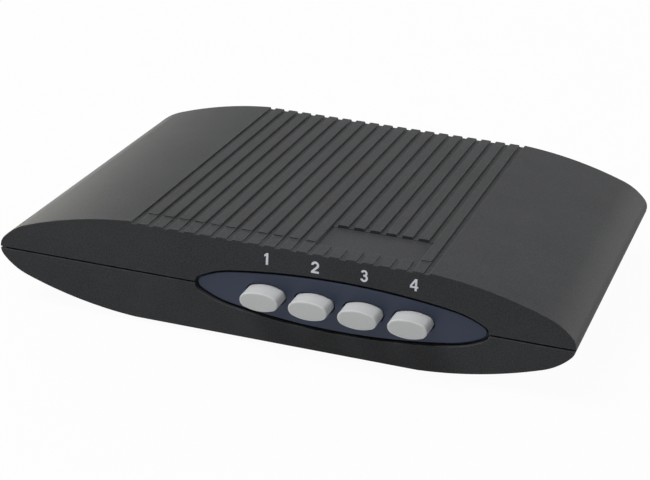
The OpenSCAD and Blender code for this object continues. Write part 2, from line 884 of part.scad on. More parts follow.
module chip_capacitors() {
    row_y = chip_w / 2 + chip_cap_gap;
    color("#8a6f52")
    for (side = [0, 1], k = [-2 : 2]) {
        translate([k * chip_cap_pitch - chip_cap_w / 2, chip_y, board_top])
            mirror([0, side, 0])
                translate([0, row_y, 0]) cube([chip_cap_w, chip_cap_d, chip_cap_h]);
    }
}

module case_screws() {
    color(metal_colour)
    at_pillars()
        translate([0, 0, part_z - screw_seat]) {
            cylinder(r = screw_r, h = screw_l);
            translate([0, 0, -screw_head_h]) cylinder(r = screw_head_r, h = screw_head_h);
        }
}

module board_screws() {
    color(metal_colour)
    at_standoffs()
        translate([0, 0, board_top]) {
            cylinder(r = board_head_r, h = board_head_h);
            translate([0, 0, -board_screw_l]) cylinder(r = board_screw_r, h = board_screw_l);
        }
}

// Turned rubber foot with a rounded lower edge
module rubber_feet() {
    color("#202020")
    at_feet()
        rotate_extrude()
            intersection() {
                square([foot_r, foot_proud + foot_pocket]);
                union() {
                    translate([0, foot_edge]) square([foot_r, foot_proud + foot_pocket]);
                    square([foot_r - foot_edge, foot_edge]);
                    translate([foot_r - foot_edge, foot_edge]) circle(foot_edge);
                }
            }
}

top_cover();
base_tray();
front_panel();
rear_panel();
for (i = BUTTONS) {
    button_cap(i);
    plunger(i);
    return_spring(i);
    contact_clip(i);
    switch_body(i);
    switch_base(i);
}
switch_pins();
main_board();
for (i = [1 : socket_count]) {
    hdmi_shell(i);
    hdmi_core(i);
}
signal_chip();
regulator();
esd_arrays();
can_capacitors();
chip_capacitors();
case_screws();
board_screws();
rubber_feet();
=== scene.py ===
"""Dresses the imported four-button video switch box and sets up its portrait.

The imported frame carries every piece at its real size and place. The pieces that show are modelled over
it here with Blender's own tools, their finishes are mixed from a few shared shader groups, and the
camera, the lamps and the pale floor repeat the photograph's view.
"""

import json
import logging
import math
from collections.abc import Callable, Iterator, Sequence
from contextlib import contextmanager
from dataclasses import dataclass
from enum import Enum

import bmesh
import bpy
from mathutils import Matrix, Vector


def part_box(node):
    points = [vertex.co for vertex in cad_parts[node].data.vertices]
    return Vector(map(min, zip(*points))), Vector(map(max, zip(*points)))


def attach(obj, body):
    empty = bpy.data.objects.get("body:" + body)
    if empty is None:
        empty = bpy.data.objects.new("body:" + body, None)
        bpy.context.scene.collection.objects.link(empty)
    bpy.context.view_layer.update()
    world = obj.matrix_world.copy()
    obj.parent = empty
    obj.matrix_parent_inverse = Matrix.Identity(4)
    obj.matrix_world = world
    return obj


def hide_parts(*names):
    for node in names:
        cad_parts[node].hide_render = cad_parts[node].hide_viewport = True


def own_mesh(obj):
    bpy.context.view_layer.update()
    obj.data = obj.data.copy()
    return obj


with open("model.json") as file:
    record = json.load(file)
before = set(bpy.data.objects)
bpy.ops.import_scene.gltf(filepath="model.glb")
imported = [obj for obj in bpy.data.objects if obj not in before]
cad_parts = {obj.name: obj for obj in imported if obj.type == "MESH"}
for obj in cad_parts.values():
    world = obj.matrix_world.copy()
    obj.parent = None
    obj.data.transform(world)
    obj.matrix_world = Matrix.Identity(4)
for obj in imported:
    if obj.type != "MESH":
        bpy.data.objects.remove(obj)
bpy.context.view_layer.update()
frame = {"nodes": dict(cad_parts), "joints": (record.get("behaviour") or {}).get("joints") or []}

MM = 0.001
WELD = 0.001 * MM                   # points closer than this are one point
FACING = 0.9                        # least part of a normal that lies along the way a face looks
SHARP_ANGLE = math.radians(28)      # edges that bend more than this can be rounded
CRISP_ANGLE = 35.0                  # small pieces stay sharp past this angle, in degrees
LOG = logging.getLogger("switch_box")

Piece = bpy.types.Object
Point = tuple[float, float]
Colour = tuple[float, float, float]
Choice = Callable[[Vector, Vector], bool]


class View(Enum):
    """Plane that an outline is drawn in, looked at from its usual side."""

    FRONT = "front"
    PLAN = "plan"
    SIDE = "side"

    def place(self, point: Point, depth: float) -> Vector:
        """Puts a drawn point into the frame.

        Args:
            point: The point on the drawing, across and up.
            depth: Its place along the line of sight.

        Returns:
            The point in metres.
        """
        across, up = point
        if self is View.FRONT:
            return Vector((across, depth, up))
        if self is View.PLAN:
            return Vector((across, up, depth))
        return Vector((depth, across, up))

    @property
    def depth_axis(self) -> Vector:
        """Direction in which depth grows."""
        return self.place((0.0, 0.0), 1.0)

    @property
    def spin_axis(self) -> Vector:
        """Axis about which Blender's spin turns counter-clockwise on the drawing."""
        across = self.place((1.0, 0.0), 0.0)
        up = self.place((0.0, 1.0), 0.0)
        return up.cross(across)


@dataclass(frozen=True)
class Line:
    """Straight stretch of an outline, up to a point."""

    to: Point

    def end(self, here: Point) -> Point:
        """Point where the stretch ends."""
        return self.to

    def draw(self, view: View, depth: float, here: Point) -> None:
        """Extrudes the selected vertex along the stretch.

        Args:
            view: The drawing plane.
            depth: Its place along the line of sight.
            here: The point that the stretch starts from.
        """
        step = view.place(self.to, depth) - view.place(here, depth)
        bpy.ops.mesh.extrude_vertices_move(TRANSFORM_OT_translate={"value": step})

    def changed(self, move: Callable[[Point], Point], turn: float) -> "Line":
        """The stretch with its point moved."""
        return Line(move(self.to))


@dataclass(frozen=True)
class Arc:
    """Round stretch of an outline, turned about a centre by an angle in radians."""

    centre: Point
    turn: float
    steps: int

    def end(self, here: Point) -> Point:
        """Point where the stretch ends."""
        across, up = here[0] - self.centre[0], here[1] - self.centre[1]
        cosine, sine = math.cos(self.turn), math.sin(self.turn)
        return (self.centre[0] + across * cosine - up * sine, self.centre[1] + across * sine + up * cosine)

    def draw(self, view: View, depth: float, here: Point) -> None:
        """Spins the selected vertex along the stretch.

        Args:
            view: The drawing plane.
            depth: Its place along the line of sight.
            here: The point that the stretch starts from; not used.
        """
        centre = view.place(self.centre, depth)
        bpy.ops.mesh.spin(steps=self.steps, angle=self.turn, center=centre, axis=view.spin_axis)

    def changed(self, move: Callable[[Point], Point], turn: float) -> "Arc":
        """The stretch with its centre moved and its turn multiplied."""
        return Arc(move(self.centre), self.turn * turn, self.steps)


@dataclass(frozen=True)
class Outline:
    """Closed outline on a drawing: a first point and the stretches that follow it."""

    start: Point
    moves: tuple[Line | Arc, ...]

    def changed(self, move: Callable[[Point], Point], turn: float = 1.0) -> "Outline":
        """The outline with its points moved and its turns multiplied."""
        return Outline(move(self.start), tuple(m.changed(move, turn) for m in self.moves))

    def moved(self, across: float, up: float) -> "Outline":
        """The outline moved on its drawing."""
        return self.changed(lambda p: (p[0] + across, p[1] + up))

    def upside_down(self) -> "Outline":
        """The outline mirrored from top to bottom."""
        return self.changed(lambda p: (p[0], -p[1]), turn=-1.0)

    def scaled(self, factor: float) -> "Outline":
        """The outline drawn at another scale."""
        return self.changed(lambda p: (p[0] * factor, p[1] * factor))

    @staticmethod
    def polygon(points: Sequence[Point]) -> "Outline":
        """An outline of straight lines through the points."""
        return Outline(points[0], tuple(Line(p) for p in points[1:]))

    @staticmethod
    def oval(length: float, height: float, end_radius: float, end_steps: int, long_steps: int) -> "Outline":
        """An oval of four arcs, its rounded ends running into long flat arcs.

        Args:
            length: Length over the rounded ends.
            height: Height at the middle.
            end_radius: Radius of the rounded ends.
            end_steps: Number of edges in a rounded end.
            long_steps: Number of edges in a long arc.

        Returns:
            The outline about its own middle.
        """
        half = length / 2 - end_radius
        rise = height / 2
        long_radius = (half**2 + rise**2 - end_radius**2) / (2 * (rise - end_radius))
        lean = math.atan2(long_radius - rise, half)
        sweep = math.pi - 2 * lean
        start = (half + end_radius * math.cos(lean), -end_radius * math.sin(lean))
        return Outline(start, (
            Arc((half, 0.0), 2 * lean, end_steps),
            Arc((0.0, rise - long_radius), sweep, long_steps),
            Arc((-half, 0.0), 2 * lean, end_steps),
            Arc((0.0, long_radius - rise), sweep, long_steps),
        ))


class Bench:
    """Blender's modelling tools, used as by hand."""

    @staticmethod
    def take(piece: Piece) -> None:
        """Selects one piece alone and makes it the active one."""
        bpy.ops.object.select_all(action="DESELECT")
        piece.select_set(True)
        bpy.context.view_layer.objects.active = piece

    @staticmethod
    @contextmanager
    def editing(piece: Piece, mode: str = "FACE") -> Iterator[None]:
        """Opens a piece in edit mode with nothing selected, and closes it again.

        Args:
            piece: The piece to work on.
            mode: What is selected in it: VERT, EDGE or FACE.
        """
        Bench.take(piece)
        bpy.ops.object.mode_set(mode="EDIT")
        bpy.ops.mesh.select_mode(type=mode)
        bpy.ops.mesh.select_all(action="DESELECT")
        yield
        bpy.ops.object.mode_set(mode="OBJECT")

    @staticmethod
    def pick_faces(piece: Piece, wanted: Choice) -> None:
        """Selects faces in edit mode by their middle and normal.

        Args:
            piece: The piece in edit mode.
            wanted: Says of a face's middle and normal whether the face is picked.
        """
        mesh = bmesh.from_edit_mesh(piece.data)
        for face in mesh.faces:
            face.select_set(wanted(face.calc_center_median(), face.normal))
        bmesh.update_edit_mesh(piece.data)

    @staticmethod
    def pick_sharp_edges(piece: Piece, wanted: Choice) -> None:
        """Selects sharp outer edges in edit mode by their two ends.

        Args:
            piece: The piece in edit mode.
            wanted: Says of an edge's ends whether the edge is picked.
        """
        mesh = bmesh.from_edit_mesh(piece.data)
        for edge in mesh.edges:
            bent = edge.calc_face_angle_signed(0.0) > SHARP_ANGLE
            edge.select_set(bent and wanted(edge.verts[0].co, edge.verts[1].co))
        bmesh.update_edit_mesh(piece.data)

    @staticmethod
    def settle(piece: Piece) -> None:
        """Puts a piece's place and size into its mesh."""
        Bench.take(piece)
        bpy.ops.object.transform_apply(location=True, rotation=True, scale=True)

    @staticmethod
    def start(name: str, operator: Callable[..., object], **settings: object) -> Piece:
        """Adds a new object with nothing else selected.

        Args:
            name: Name of the new object.
            operator: Blender's operator that adds it.
            settings: The operator's settings.

        Returns:
            The new object.
        """
        bpy.ops.object.select_all(action="DESELECT")
        operator(**settings)
        piece = bpy.context.active_object
        piece.name = name
        return piece

    @staticmethod
    def trace(name: str, view: View, depth: float, outline: Outline, filled: bool = True) -> Piece:
        """Draws an outline vertex by vertex.

        Args:
            name: Name of the new piece.
            view: The drawing plane.
            depth: Its place along the line of sight.
            outline: The outline to draw.
            filled: Whether the outline is closed and filled with one flat face.

        Returns:
            The flat piece.
        """
        first = view.place(outline.start, depth)
        piece = Bench.start(name, bpy.ops.mesh.primitive_plane_add, size=MM, location=first)
        Bench.settle(piece)
        with Bench.editing(piece, "VERT"):
            bpy.ops.mesh.select_all(action="SELECT")
            bpy.ops.mesh.merge(type="CENTER")
            here = outline.start
            for move in outline.moves:
                move.draw(view, depth, here)
                here = move.end(here)
            bpy.ops.mesh.select_all(action="SELECT")
            bpy.ops.mesh.remove_doubles(threshold=WELD)
            if filled:
                bpy.ops.mesh.edge_face_add()
        return piece

    @staticmethod
    def prism(name: str, view: View, outline: Outline, near: float, far: float) -> Piece:
        """Draws an outline and extrudes it along the line of sight.

        Args:
            name: Name of the new piece.
            view: The drawing plane.
            outline: The outline to draw.
            near: Depth of the outline.
            far: Depth that it is extruded to.

        Returns:
            The closed piece.
        """
        piece = Bench.trace(name, view, near, outline)
        with Bench.editing(piece):
            bpy.ops.mesh.select_all(action="SELECT")
            step = view.depth_axis * (far - near)
            bpy.ops.mesh.extrude_region_move(TRANSFORM_OT_translate={"value": step})
            bpy.ops.mesh.select_all(action="SELECT")
            bpy.ops.mesh.normals_make_consistent(inside=False)
        return piece

    @staticmethod
    def block(name: str, low: Vector, high: Vector) -> Piece:
        """Adds a box between two corners.

        Args:
            name: Name of the new piece.
            low: The lowest corner.
            high: The highest corner.

        Returns:
            The box.
        """
        piece = Bench.start(name, bpy.ops.mesh.primitive_cube_add, size=1.0, location=(low + high) / 2,
                            scale=high - low)
        Bench.settle(piece)
        return piece

    @staticmethod
    def rod(name: str, foot: Vector, radius: float, length: float, sides: int = 32) -> Piece:
        """Adds an upright round rod.

        Args:
            name: Name of the new piece.
            foot: Middle of its lower end.
            radius: Its radius.
            length: Its length.
            sides: Number of its sides.

        Returns:
            The rod.
        """
        middle = foot + Vector((0.0, 0.0, length / 2))
        piece = Bench.start(name, bpy.ops.mesh.primitive_cylinder_add, vertices=sides, radius=radius,
                            depth=length, location=middle)
        Bench.settle(piece)
        return piece

    @staticmethod
    def apply(piece: Piece, kind: str, **settings: object) -> None:
        """Adds a modifier with its settings and applies it.

        Args:
            piece: The piece to change.
            kind: Blender's name of the modifier.
            settings: Its properties.
        """
        Bench.take(piece)
        modifier = piece.modifiers.new(kind.lower(), kind)
        for name, value in settings.items():
            setattr(modifier, name, value)
        bpy.ops.object.modifier_apply(modifier=modifier.name)

    @staticmethod
    def combine(piece: Piece, tool: Piece, operation: str = "DIFFERENCE") -> None:
        """Cuts a piece with a tool, or joins them, and clears the tool away.

        Args:
            piece: The piece to change.
            tool: The other piece.
            operation: DIFFERENCE, UNION or INTERSECT.
        """
        Bench.apply(piece, "BOOLEAN", object=tool, operation=operation, solver="EXACT")
        bpy.data.objects.remove(tool)

    @staticmethod
    def row(piece: Piece, count: int, step: Vector) -> None:
        """Repeats a piece along a line.

        Args:
            piece: The piece to repeat.
            count: Number of copies, the first included.
            step: Distance from copy to copy.
        """
        Bench.apply(piece, "ARRAY", count=count, use_relative_offset=False, use_constant_offset=True,
                    constant_offset_displace=step)

    @staticmethod
    def copy(piece: Piece, name: str, step: Vector) -> Piece:
        """Copies a piece with its own mesh and moves the copy.

        Args:
            piece: The piece to copy.
            name: Name of the copy.
            step: How far the copy lies from the piece.

        Returns:
            The copy.
        """
        Bench.take(piece)
        bpy.ops.object.duplicate(linked=False)
        twin = bpy.context.active_object
        twin.name = name
        bpy.ops.transform.translate(value=step)
        Bench.settle(twin)
        return twin

    @staticmethod
    def copies(model: Piece, word: str, places: Sequence[float]) -> list[Piece]:
        """Copies a piece along a row.

        Args:
            model: The piece, which stands at the first place.
            word: What the copies are called, before their numbers.
            places: The places across.

        Returns:
            The piece and its copies in order.
        """
        row = [model]
        for number, place in enumerate(places[1:], start=2):
            row.append(Bench.copy(model, f"{word}_{number}", Vector((place - places[0], 0.0, 0.0))))
        return row

    @staticmethod
    def spread(model: Piece, name: str, places: Sequence[Point]) -> Piece:
        """Copies a piece to places on the plan and joins the copies to it.

        Args:
            model: The piece, which stands at the first place.
            name: Name of the result.
            places: The places, across and along.

        Returns:
            The joined piece.
        """
        steps = [Vector((x - places[0][0], y - places[0][1], 0.0)) for x, y in places[1:]]
        return Bench.join([model, *(Bench.copy(model, model.name, step) for step in steps)], name)

    @staticmethod
    def join(pieces: Sequence[Piece], name: str) -> Piece:
        """Joins pieces into the first one.

        Args:
            pieces: The pieces to join.
            name: Name of the result.

        Returns:
            The joined piece.
        """
        Bench.take(pieces[0])
        for piece in pieces[1:]:
            piece.select_set(True)
        bpy.ops.object.join()
        pieces[0].name = name
        return pieces[0]

    @staticmethod
    def round_edges(piece: Piece, width: float, wanted: Choice, segments: int = 2) -> None:
        """Rounds sharp outer edges that are picked by their ends.

        Args:
            piece: The piece to change.
            width: Width of the rounding.
            wanted: Says of an edge's ends whether the edge is rounded.
            segments: Number of faces across the rounding.
        """
        with Bench.editing(piece, "EDGE"):
            Bench.pick_sharp_edges(piece, wanted)
            bpy.ops.mesh.bevel(offset=width, segments=segments, profile=0.5, affect="EDGES",
                               clamp_overlap=False)

    @staticmethod
    def smooth(piece: Piece, angle: float = 50.0) -> None:
        """Shades a piece smoothly, with its flat faces kept flat and its sharp edges sharp.

        Args:
            piece: The piece to shade.
            angle: Edges sharper than this stay sharp, in degrees.
        """
        Bench.take(piece)
        bpy.ops.object.shade_smooth_by_angle(angle=math.radians(angle))
        Bench.apply(piece, "WEIGHTED_NORMAL", keep_sharp=True)


class NodeSheet:
    """A shader node tree with short ways to add nodes and join them."""

    def __init__(self, tree: bpy.types.NodeTree) -> None:
        """Keeps the tree that the nodes go into."""
        self.tree = tree

    def add(self, kind: str, inputs: dict[str, object] | None = None, **settings: object) -> bpy.types.Node:
        """Adds a node.

        Args:
            kind: Blender's name of the node.
            inputs: Its inputs by name, each a value or the output that feeds it.
            settings: Its properties.

        Returns:
            The node.
        """
        node = self.tree.nodes.new(kind)
        for name, value in settings.items():
            setattr(node, name, value)
        for name, value in (inputs or {}).items():
            self.feed(node.inputs[name], value)
        return node

    def feed(self, socket: bpy.types.NodeSocket, value: object) -> None:
        """Links an output to a socket, or sets the socket's value.

        Args:
            socket: The socket.
            value: A value, or the output that feeds the socket.
        """
        if isinstance(value, bpy.types.NodeSocket):
            self.tree.links.new(value, socket)
        else:
            socket.default_value = value

    def sums(self, operation: str, *values: object) -> bpy.types.NodeSocket:
        """Adds a Math node.

        Args:
            operation: Blender's name of the sum.
            values: The values or outputs that go into it.

        Returns:
            The result's output.
        """
        node = self.add("ShaderNodeMath", operation=operation)
        for socket, value in zip(node.inputs, values):
            self.feed(socket, value)
        return node.outputs[0]

    def span(self, value: object, low: float, high: float, to_low: float = 0.0,
             to_high: float = 1.0) -> bpy.types.NodeSocket:
        """Maps a value from one range to another.

        Args:
            value: The output to map.
            low: Start of its range.
            high: End of its range.
            to_low: What the start becomes.
            to_high: What the end becomes.

        Returns:
            The mapped output.
        """
        node = self.add("ShaderNodeMapRange", {
            "Value": value, "From Min": low, "From Max": high, "To Min": to_low, "To Max": to_high,
        })
        return node.outputs["Result"]

    def place(self) -> bpy.types.NodeSocket:
        """The place on the piece, in its own coordinates."""
        return self.add("ShaderNodeTexCoord").outputs["Object"]

    def noise(self, place: object, scale: object, detail: float,
              roughness: float = 0.5) -> bpy.types.NodeSocket:
        """Adds a cloudy pattern.

        Args:
            place: The output that says where on the piece it is.
            scale: Number of clouds to the metre.
            detail: Number of finer layers.
            roughness: Strength of the finer layers.

        Returns:
            The pattern's output, from 0 to 1.
        """
        inputs = {"Vector": place, "Scale": scale, "Detail": detail, "Roughness": roughness}
        return self.add("ShaderNodeTexNoise", inputs).outputs["Fac"]

    def mix(self, share: object, first: object, second: object) -> bpy.types.NodeSocket:
        """Mixes two colours.

        Args:
            share: How much of the second colour shows.
            first: The first colour or output.
            second: The second colour or output.

        Returns:
            The mixed colour's output.
        """
        node = self.add("ShaderNodeMix", data_type="RGBA")
        self.feed(node.inputs[0], share)
        self.feed(node.inputs[6], first)
        self.feed(node.inputs[7], second)
        return node.outputs[2]


def rgba(colour: Colour) -> tuple[float, float, float, float]:
    """A colour with full cover, as sockets take it."""
    return (*colour, 1.0)


def lit(colour: Colour, gain: float) -> tuple[float, float, float, float]:
    """A colour made lighter or darker, up to white, as sockets take it."""
    return (*(min(1.0, gain * part) for part in colour), 1.0)


class Effect(Enum):
    """Surface effects that several finishes share, each a shader node group."""

    MOULD_GRAIN = "mould grain"
    # edge mask: real wear, and also a painted highlight along rounded edges
    EDGE_WEAR_AND_HIGHLIGHT = "edge wear"
    SETTLED_DUST = "settled dust"
    DRAWN_METAL = "drawn metal"

    def tree(self) -> bpy.types.NodeTree:
        """The effect's node group, built the first time that it is asked for.

        Returns:
            The node group.
        """
        found = bpy.data.node_groups.get(self.value)
        if found:
            return found
        tree = bpy.data.node_groups.new(self.value, "ShaderNodeTree")
        builders = {
            Effect.MOULD_GRAIN: Effect._mould_grain,
            Effect.EDGE_WEAR_AND_HIGHLIGHT: Effect._edge_wear_and_highlight,
            Effect.SETTLED_DUST: Effect._settled_dust,
            Effect.DRAWN_METAL: Effect._drawn_metal,
        }
        builders[self](NodeSheet(tree))
        return tree

    @staticmethod
    def _sockets(sheet: NodeSheet, inputs: dict[str, float],
                 outputs: Sequence[str]) -> tuple[bpy.types.Node, bpy.types.Node]:
        """Gives a group its named values.

        Args:
            sheet: The group's sheet.
            inputs: Names and first values of what goes in.
            outputs: Names of what comes out.

        Returns:
            The group's input node and output node.
        """
        for name, value in inputs.items():
            socket = sheet.tree.interface.new_socket(name, in_out="INPUT", socket_type="NodeSocketFloat")
            socket.default_value = value
        for name in outputs:
            sheet.tree.interface.new_socket(name, in_out="OUTPUT", socket_type="NodeSocketFloat")
        return sheet.add("NodeGroupInput"), sheet.add("NodeGroupOutput")

    @staticmethod
    def _mould_grain(sheet: NodeSheet) -> None:
        """Fine spark-eroded texture of a mould, with a slow drift of tone over it.

        Args:
            sheet: The group's sheet.
        """
        entry, leave = Effect._sockets(sheet, {"Cell": 0.3 * MM}, ("Height", "Tone"))
        place = sheet.place()
        pitch = sheet.sums("DIVIDE", 1.0, entry.outputs["Cell"])
        pebble = sheet.noise(place, pitch, detail=3.0, roughness=0.6)
        coarse = sheet.sums("MULTIPLY", pitch, 0.55)
        pit = sheet.add("ShaderNodeTexVoronoi", {"Vector": place, "Scale": coarse})
        drift = sheet.noise(place, 55.0, detail=4.0, roughness=0.55)
        fleck = sheet.sums("MULTIPLY", sheet.span(pebble, 0.35, 0.7), 0.6)
        height = sheet.sums("MULTIPLY_ADD", pit.outputs["Distance"], 0.35, pebble)
        sheet.feed(leave.inputs["Height"], height)
        sheet.feed(leave.inputs["Tone"], sheet.sums("MULTIPLY_ADD", drift, 0.4, fleck))

    @staticmethod
    def _edge_wear_and_highlight(sheet: NodeSheet) -> None:
        """Mask of the edges that hands rub, which also carries a painted highlight along rounded edges,
        broken up along their length.

        Args:
            sheet: The group's sheet.
        """
        entry, leave = Effect._sockets(sheet, {"Radius": 0.3 * MM, "Amount": 0.5}, ("Mask",))
        soft = sheet.add("ShaderNodeBevel", {"Radius": entry.outputs["Radius"]}, samples=6)
        face = sheet.add("ShaderNodeNewGeometry")
        turn = sheet.add("ShaderNodeVectorMath", operation="DOT_PRODUCT")
        sheet.feed(turn.inputs[0], soft.outputs["Normal"])
        sheet.feed(turn.inputs[1], face.outputs["Normal"])
        edge = sheet.span(turn.outputs["Value"], 0.995, 0.9)
        rub = sheet.span(sheet.noise(sheet.place(), 420.0, detail=3.0), 0.35, 0.65, to_low=0.25)
        broken = sheet.sums("MULTIPLY", edge, rub)
        sheet.feed(leave.inputs["Mask"], sheet.sums("MULTIPLY", broken, entry.outputs["Amount"]))

    @staticmethod
    def _settled_dust(sheet: NodeSheet) -> None:
        """Mask of the thin dust that lies on faces that look up.

        Args:
            sheet: The group's sheet.
        """
        entry, leave = Effect._sockets(sheet, {"Amount": 0.1}, ("Mask",))
        place = sheet.place()
        face = sheet.add("ShaderNodeNewGeometry")
        upright = sheet.add("ShaderNodeSeparateXYZ", {"Vector": face.outputs["Normal"]})
        level = sheet.span(upright.outputs["Z"], 0.35, 0.95)
        drift = sheet.span(sheet.noise(place, 130.0, detail=6.0, roughness=0.7), 0.3, 0.75, to_low=0.2)
        fine = sheet.span(sheet.noise(place, 2600.0, detail=2.0), 0.45, 0.7, to_low=0.35)
        patch = sheet.sums("MULTIPLY", level, sheet.sums("MULTIPLY", drift, fine))
        sheet.feed(leave.inputs["Mask"], sheet.sums("MULTIPLY", patch, entry.outputs["Amount"]))

    @staticmethod
    def _drawn_metal(sheet: NodeSheet) -> None:
        """Rolling lines of sheet and wire, with a cloudy tarnish.

        Args:
            sheet: The group's sheet.
        """
        entry, leave = Effect._sockets(sheet, {"Cell": 0.2 * MM}, ("Height", "Tarnish"))
        place = sheet.place()
        pitch = sheet.sums("DIVIDE", 1.0, entry.outputs["Cell"])
        drawn = sheet.add("ShaderNodeMapping", {"Vector": place, "Scale": (1.0, 0.06, 1.0)})
        lines = sheet.noise(drawn.outputs["Vector"], pitch, detail=4.0)
        cloud = sheet.noise(place, 380.0, detail=5.0, roughness=0.65)
        sheet.feed(leave.inputs["Height"], lines)
        sheet.feed(leave.inputs["Tarnish"], sheet.span(cloud, 0.35, 0.7))


class FinishSheet(NodeSheet):
    """The node tree of one material, with its own shader and the shared effects."""

    def __init__(self, name: str) -> None:
        """Opens a new material.

        Args:
            name: Name of the material.
        """
        self.material = bpy.data.materials.new(name)
        self.material.use_nodes = True
        super().__init__(self.material.node_tree)
        self.shader = self.tree.nodes["Principled BSDF"]

    def effect(self, effect: Effect, **inputs: float) -> bpy.types.Node:
        """Places a shared effect with its own values.

        Args:
            effect: The effect.
            inputs: Its values by name.

        Returns:
            The group node.
        """
        node = self.add("ShaderNodeGroup", node_tree=effect.tree())
        for name, value in inputs.items():
            node.inputs[name].default_value = value
        return node

    def raise_by(self, height: bpy.types.NodeSocket, strength: float, distance: float) -> None:
        """Lifts the surface by a height.

        Args:
            height: The output that says how high.
            strength: Share of the effect, from 0 to 1.
            distance: Height of a full step.
        """
        bump = self.add("ShaderNodeBump", {"Height": height, "Strength": strength, "Distance": distance})
        self.feed(self.shader.inputs["Normal"], bump.outputs["Normal"])

    def constants(self, **values: float) -> None:
        """Sets plain values on the shader's own sockets, with spaces written as underscores."""
        for name, value in values.items():
            self.shader.inputs[name.replace("_", " ")].default_value = value


@dataclass(frozen=True)
class Finish:
    """What a surface is made of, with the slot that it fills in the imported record."""

    slot: str

    def mix(self, sheet: FinishSheet) -> None:
        """Joins up the nodes of the finish's material."""
        raise NotImplementedError

    def material(self, name: str) -> bpy.types.Material:
        """Mixes the finish.

        Args:
            name: Name of the material.

        Returns:
            The material.
        """
        sheet = FinishSheet(name)
        self.mix(sheet)
        return sheet.material


@dataclass(frozen=True)
class MouldedPlastic(Finish):
    """Plastic, rubber or epoxy out of a textured mould."""

    colour: Colour
    fleck: Colour
    roughness: float
    specular: float = 0.3
    grain: float = 0.28 * MM
    depth: float = 0.02 * MM
    strength: float = 0.5
    # edge lightening: worn edges, and a painted highlight along rounded edges
    wear_and_highlight: float = 0.3
    wear_and_highlight_radius: float = 0.35 * MM
    wear_and_highlight_gain: float = 2.4
    polish: float = 0.12
    unevenness: float = 0.06
    dust: float = 0.1
    dust_colour: Colour = (0.32, 0.31, 0.29)
    sheen: float = 0.0

    def mix(self, sheet: FinishSheet) -> None:
        """Mottles the colour, lightens and polishes the edges as wear and as a painted highlight, and lays
        dust on top.

        Args:
            sheet: The material's sheet.
        """
        grain = sheet.effect(Effect.MOULD_GRAIN, Cell=self.grain)
        wear_and_highlight = sheet.effect(Effect.EDGE_WEAR_AND_HIGHLIGHT, Radius=self.wear_and_highlight_radius, Amount=self.wear_and_highlight)
        dust = sheet.effect(Effect.SETTLED_DUST, Amount=self.dust)
        body = sheet.mix(grain.outputs["Tone"], rgba(self.colour), rgba(self.fleck))
        # edges lightened towards white: wear, and a painted highlight along rounded edges
        rubbed_and_highlit = sheet.mix(wear_and_highlight.outputs["Mask"], body, lit(self.fleck, self.wear_and_highlight_gain))
        dusty = sheet.mix(dust.outputs["Mask"], rubbed_and_highlit, rgba(self.dust_colour))
        sheet.feed(sheet.shader.inputs["Base Color"], dusty)
        smoothest, roughest = self.roughness - self.unevenness, self.roughness + self.unevenness
        rough = sheet.span(grain.outputs["Tone"], 0.1, 0.9, smoothest, roughest)
        polished = sheet.sums("MULTIPLY_ADD", wear_and_highlight.outputs["Mask"], -self.polish, rough)
        sheet.feed(sheet.shader.inputs["Roughness"], polished)
        sheet.raise_by(grain.outputs["Height"], self.strength, self.depth)
        sheet.constants(Specular_IOR_Level=self.specular, Sheen_Weight=self.sheen)


@dataclass(frozen=True)
class PlatedMetal(Finish):
    """Rolled, drawn or plated metal."""

    colour: Colour
    tarnish: Colour
    roughness: float
    grain: float = 0.2 * MM
    depth: float = 0.006 * MM
    strength: float = 0.4
    tarnish_share: float = 0.6
    wear_and_highlight: float = 0.5
    wear_and_highlight_radius: float = 0.2 * MM
    wear_and_highlight_gain: float = 1.15
    polish: float = 0.07
    dulling: float = 0.1

    def mix(self, sheet: FinishSheet) -> None:
        """Clouds the metal with tarnish and brightens its edges.

        Args:
            sheet: The material's sheet.
        """
        grain = sheet.effect(Effect.DRAWN_METAL, Cell=self.grain)
        wear_and_highlight = sheet.effect(Effect.EDGE_WEAR_AND_HIGHLIGHT, Radius=self.wear_and_highlight_radius, Amount=self.wear_and_highlight)
        dull = sheet.sums("MULTIPLY", grain.outputs["Tarnish"], self.tarnish_share)
        body = sheet.mix(dull, rgba(self.colour), rgba(self.tarnish))
        bright = sheet.mix(wear_and_highlight.outputs["Mask"], body, lit(self.colour, self.wear_and_highlight_gain))
        sheet.feed(sheet.shader.inputs["Base Color"], bright)
        smoothest, roughest = self.roughness - self.polish, self.roughness + self.dulling
        rough = sheet.span(grain.outputs["Tarnish"], 0.0, 1.0, smoothest, roughest)
        sheet.feed(sheet.shader.inputs["Roughness"], rough)
        sheet.raise_by(grain.outputs["Height"], self.strength, self.depth)
        sheet.constants(Metallic=1.0)


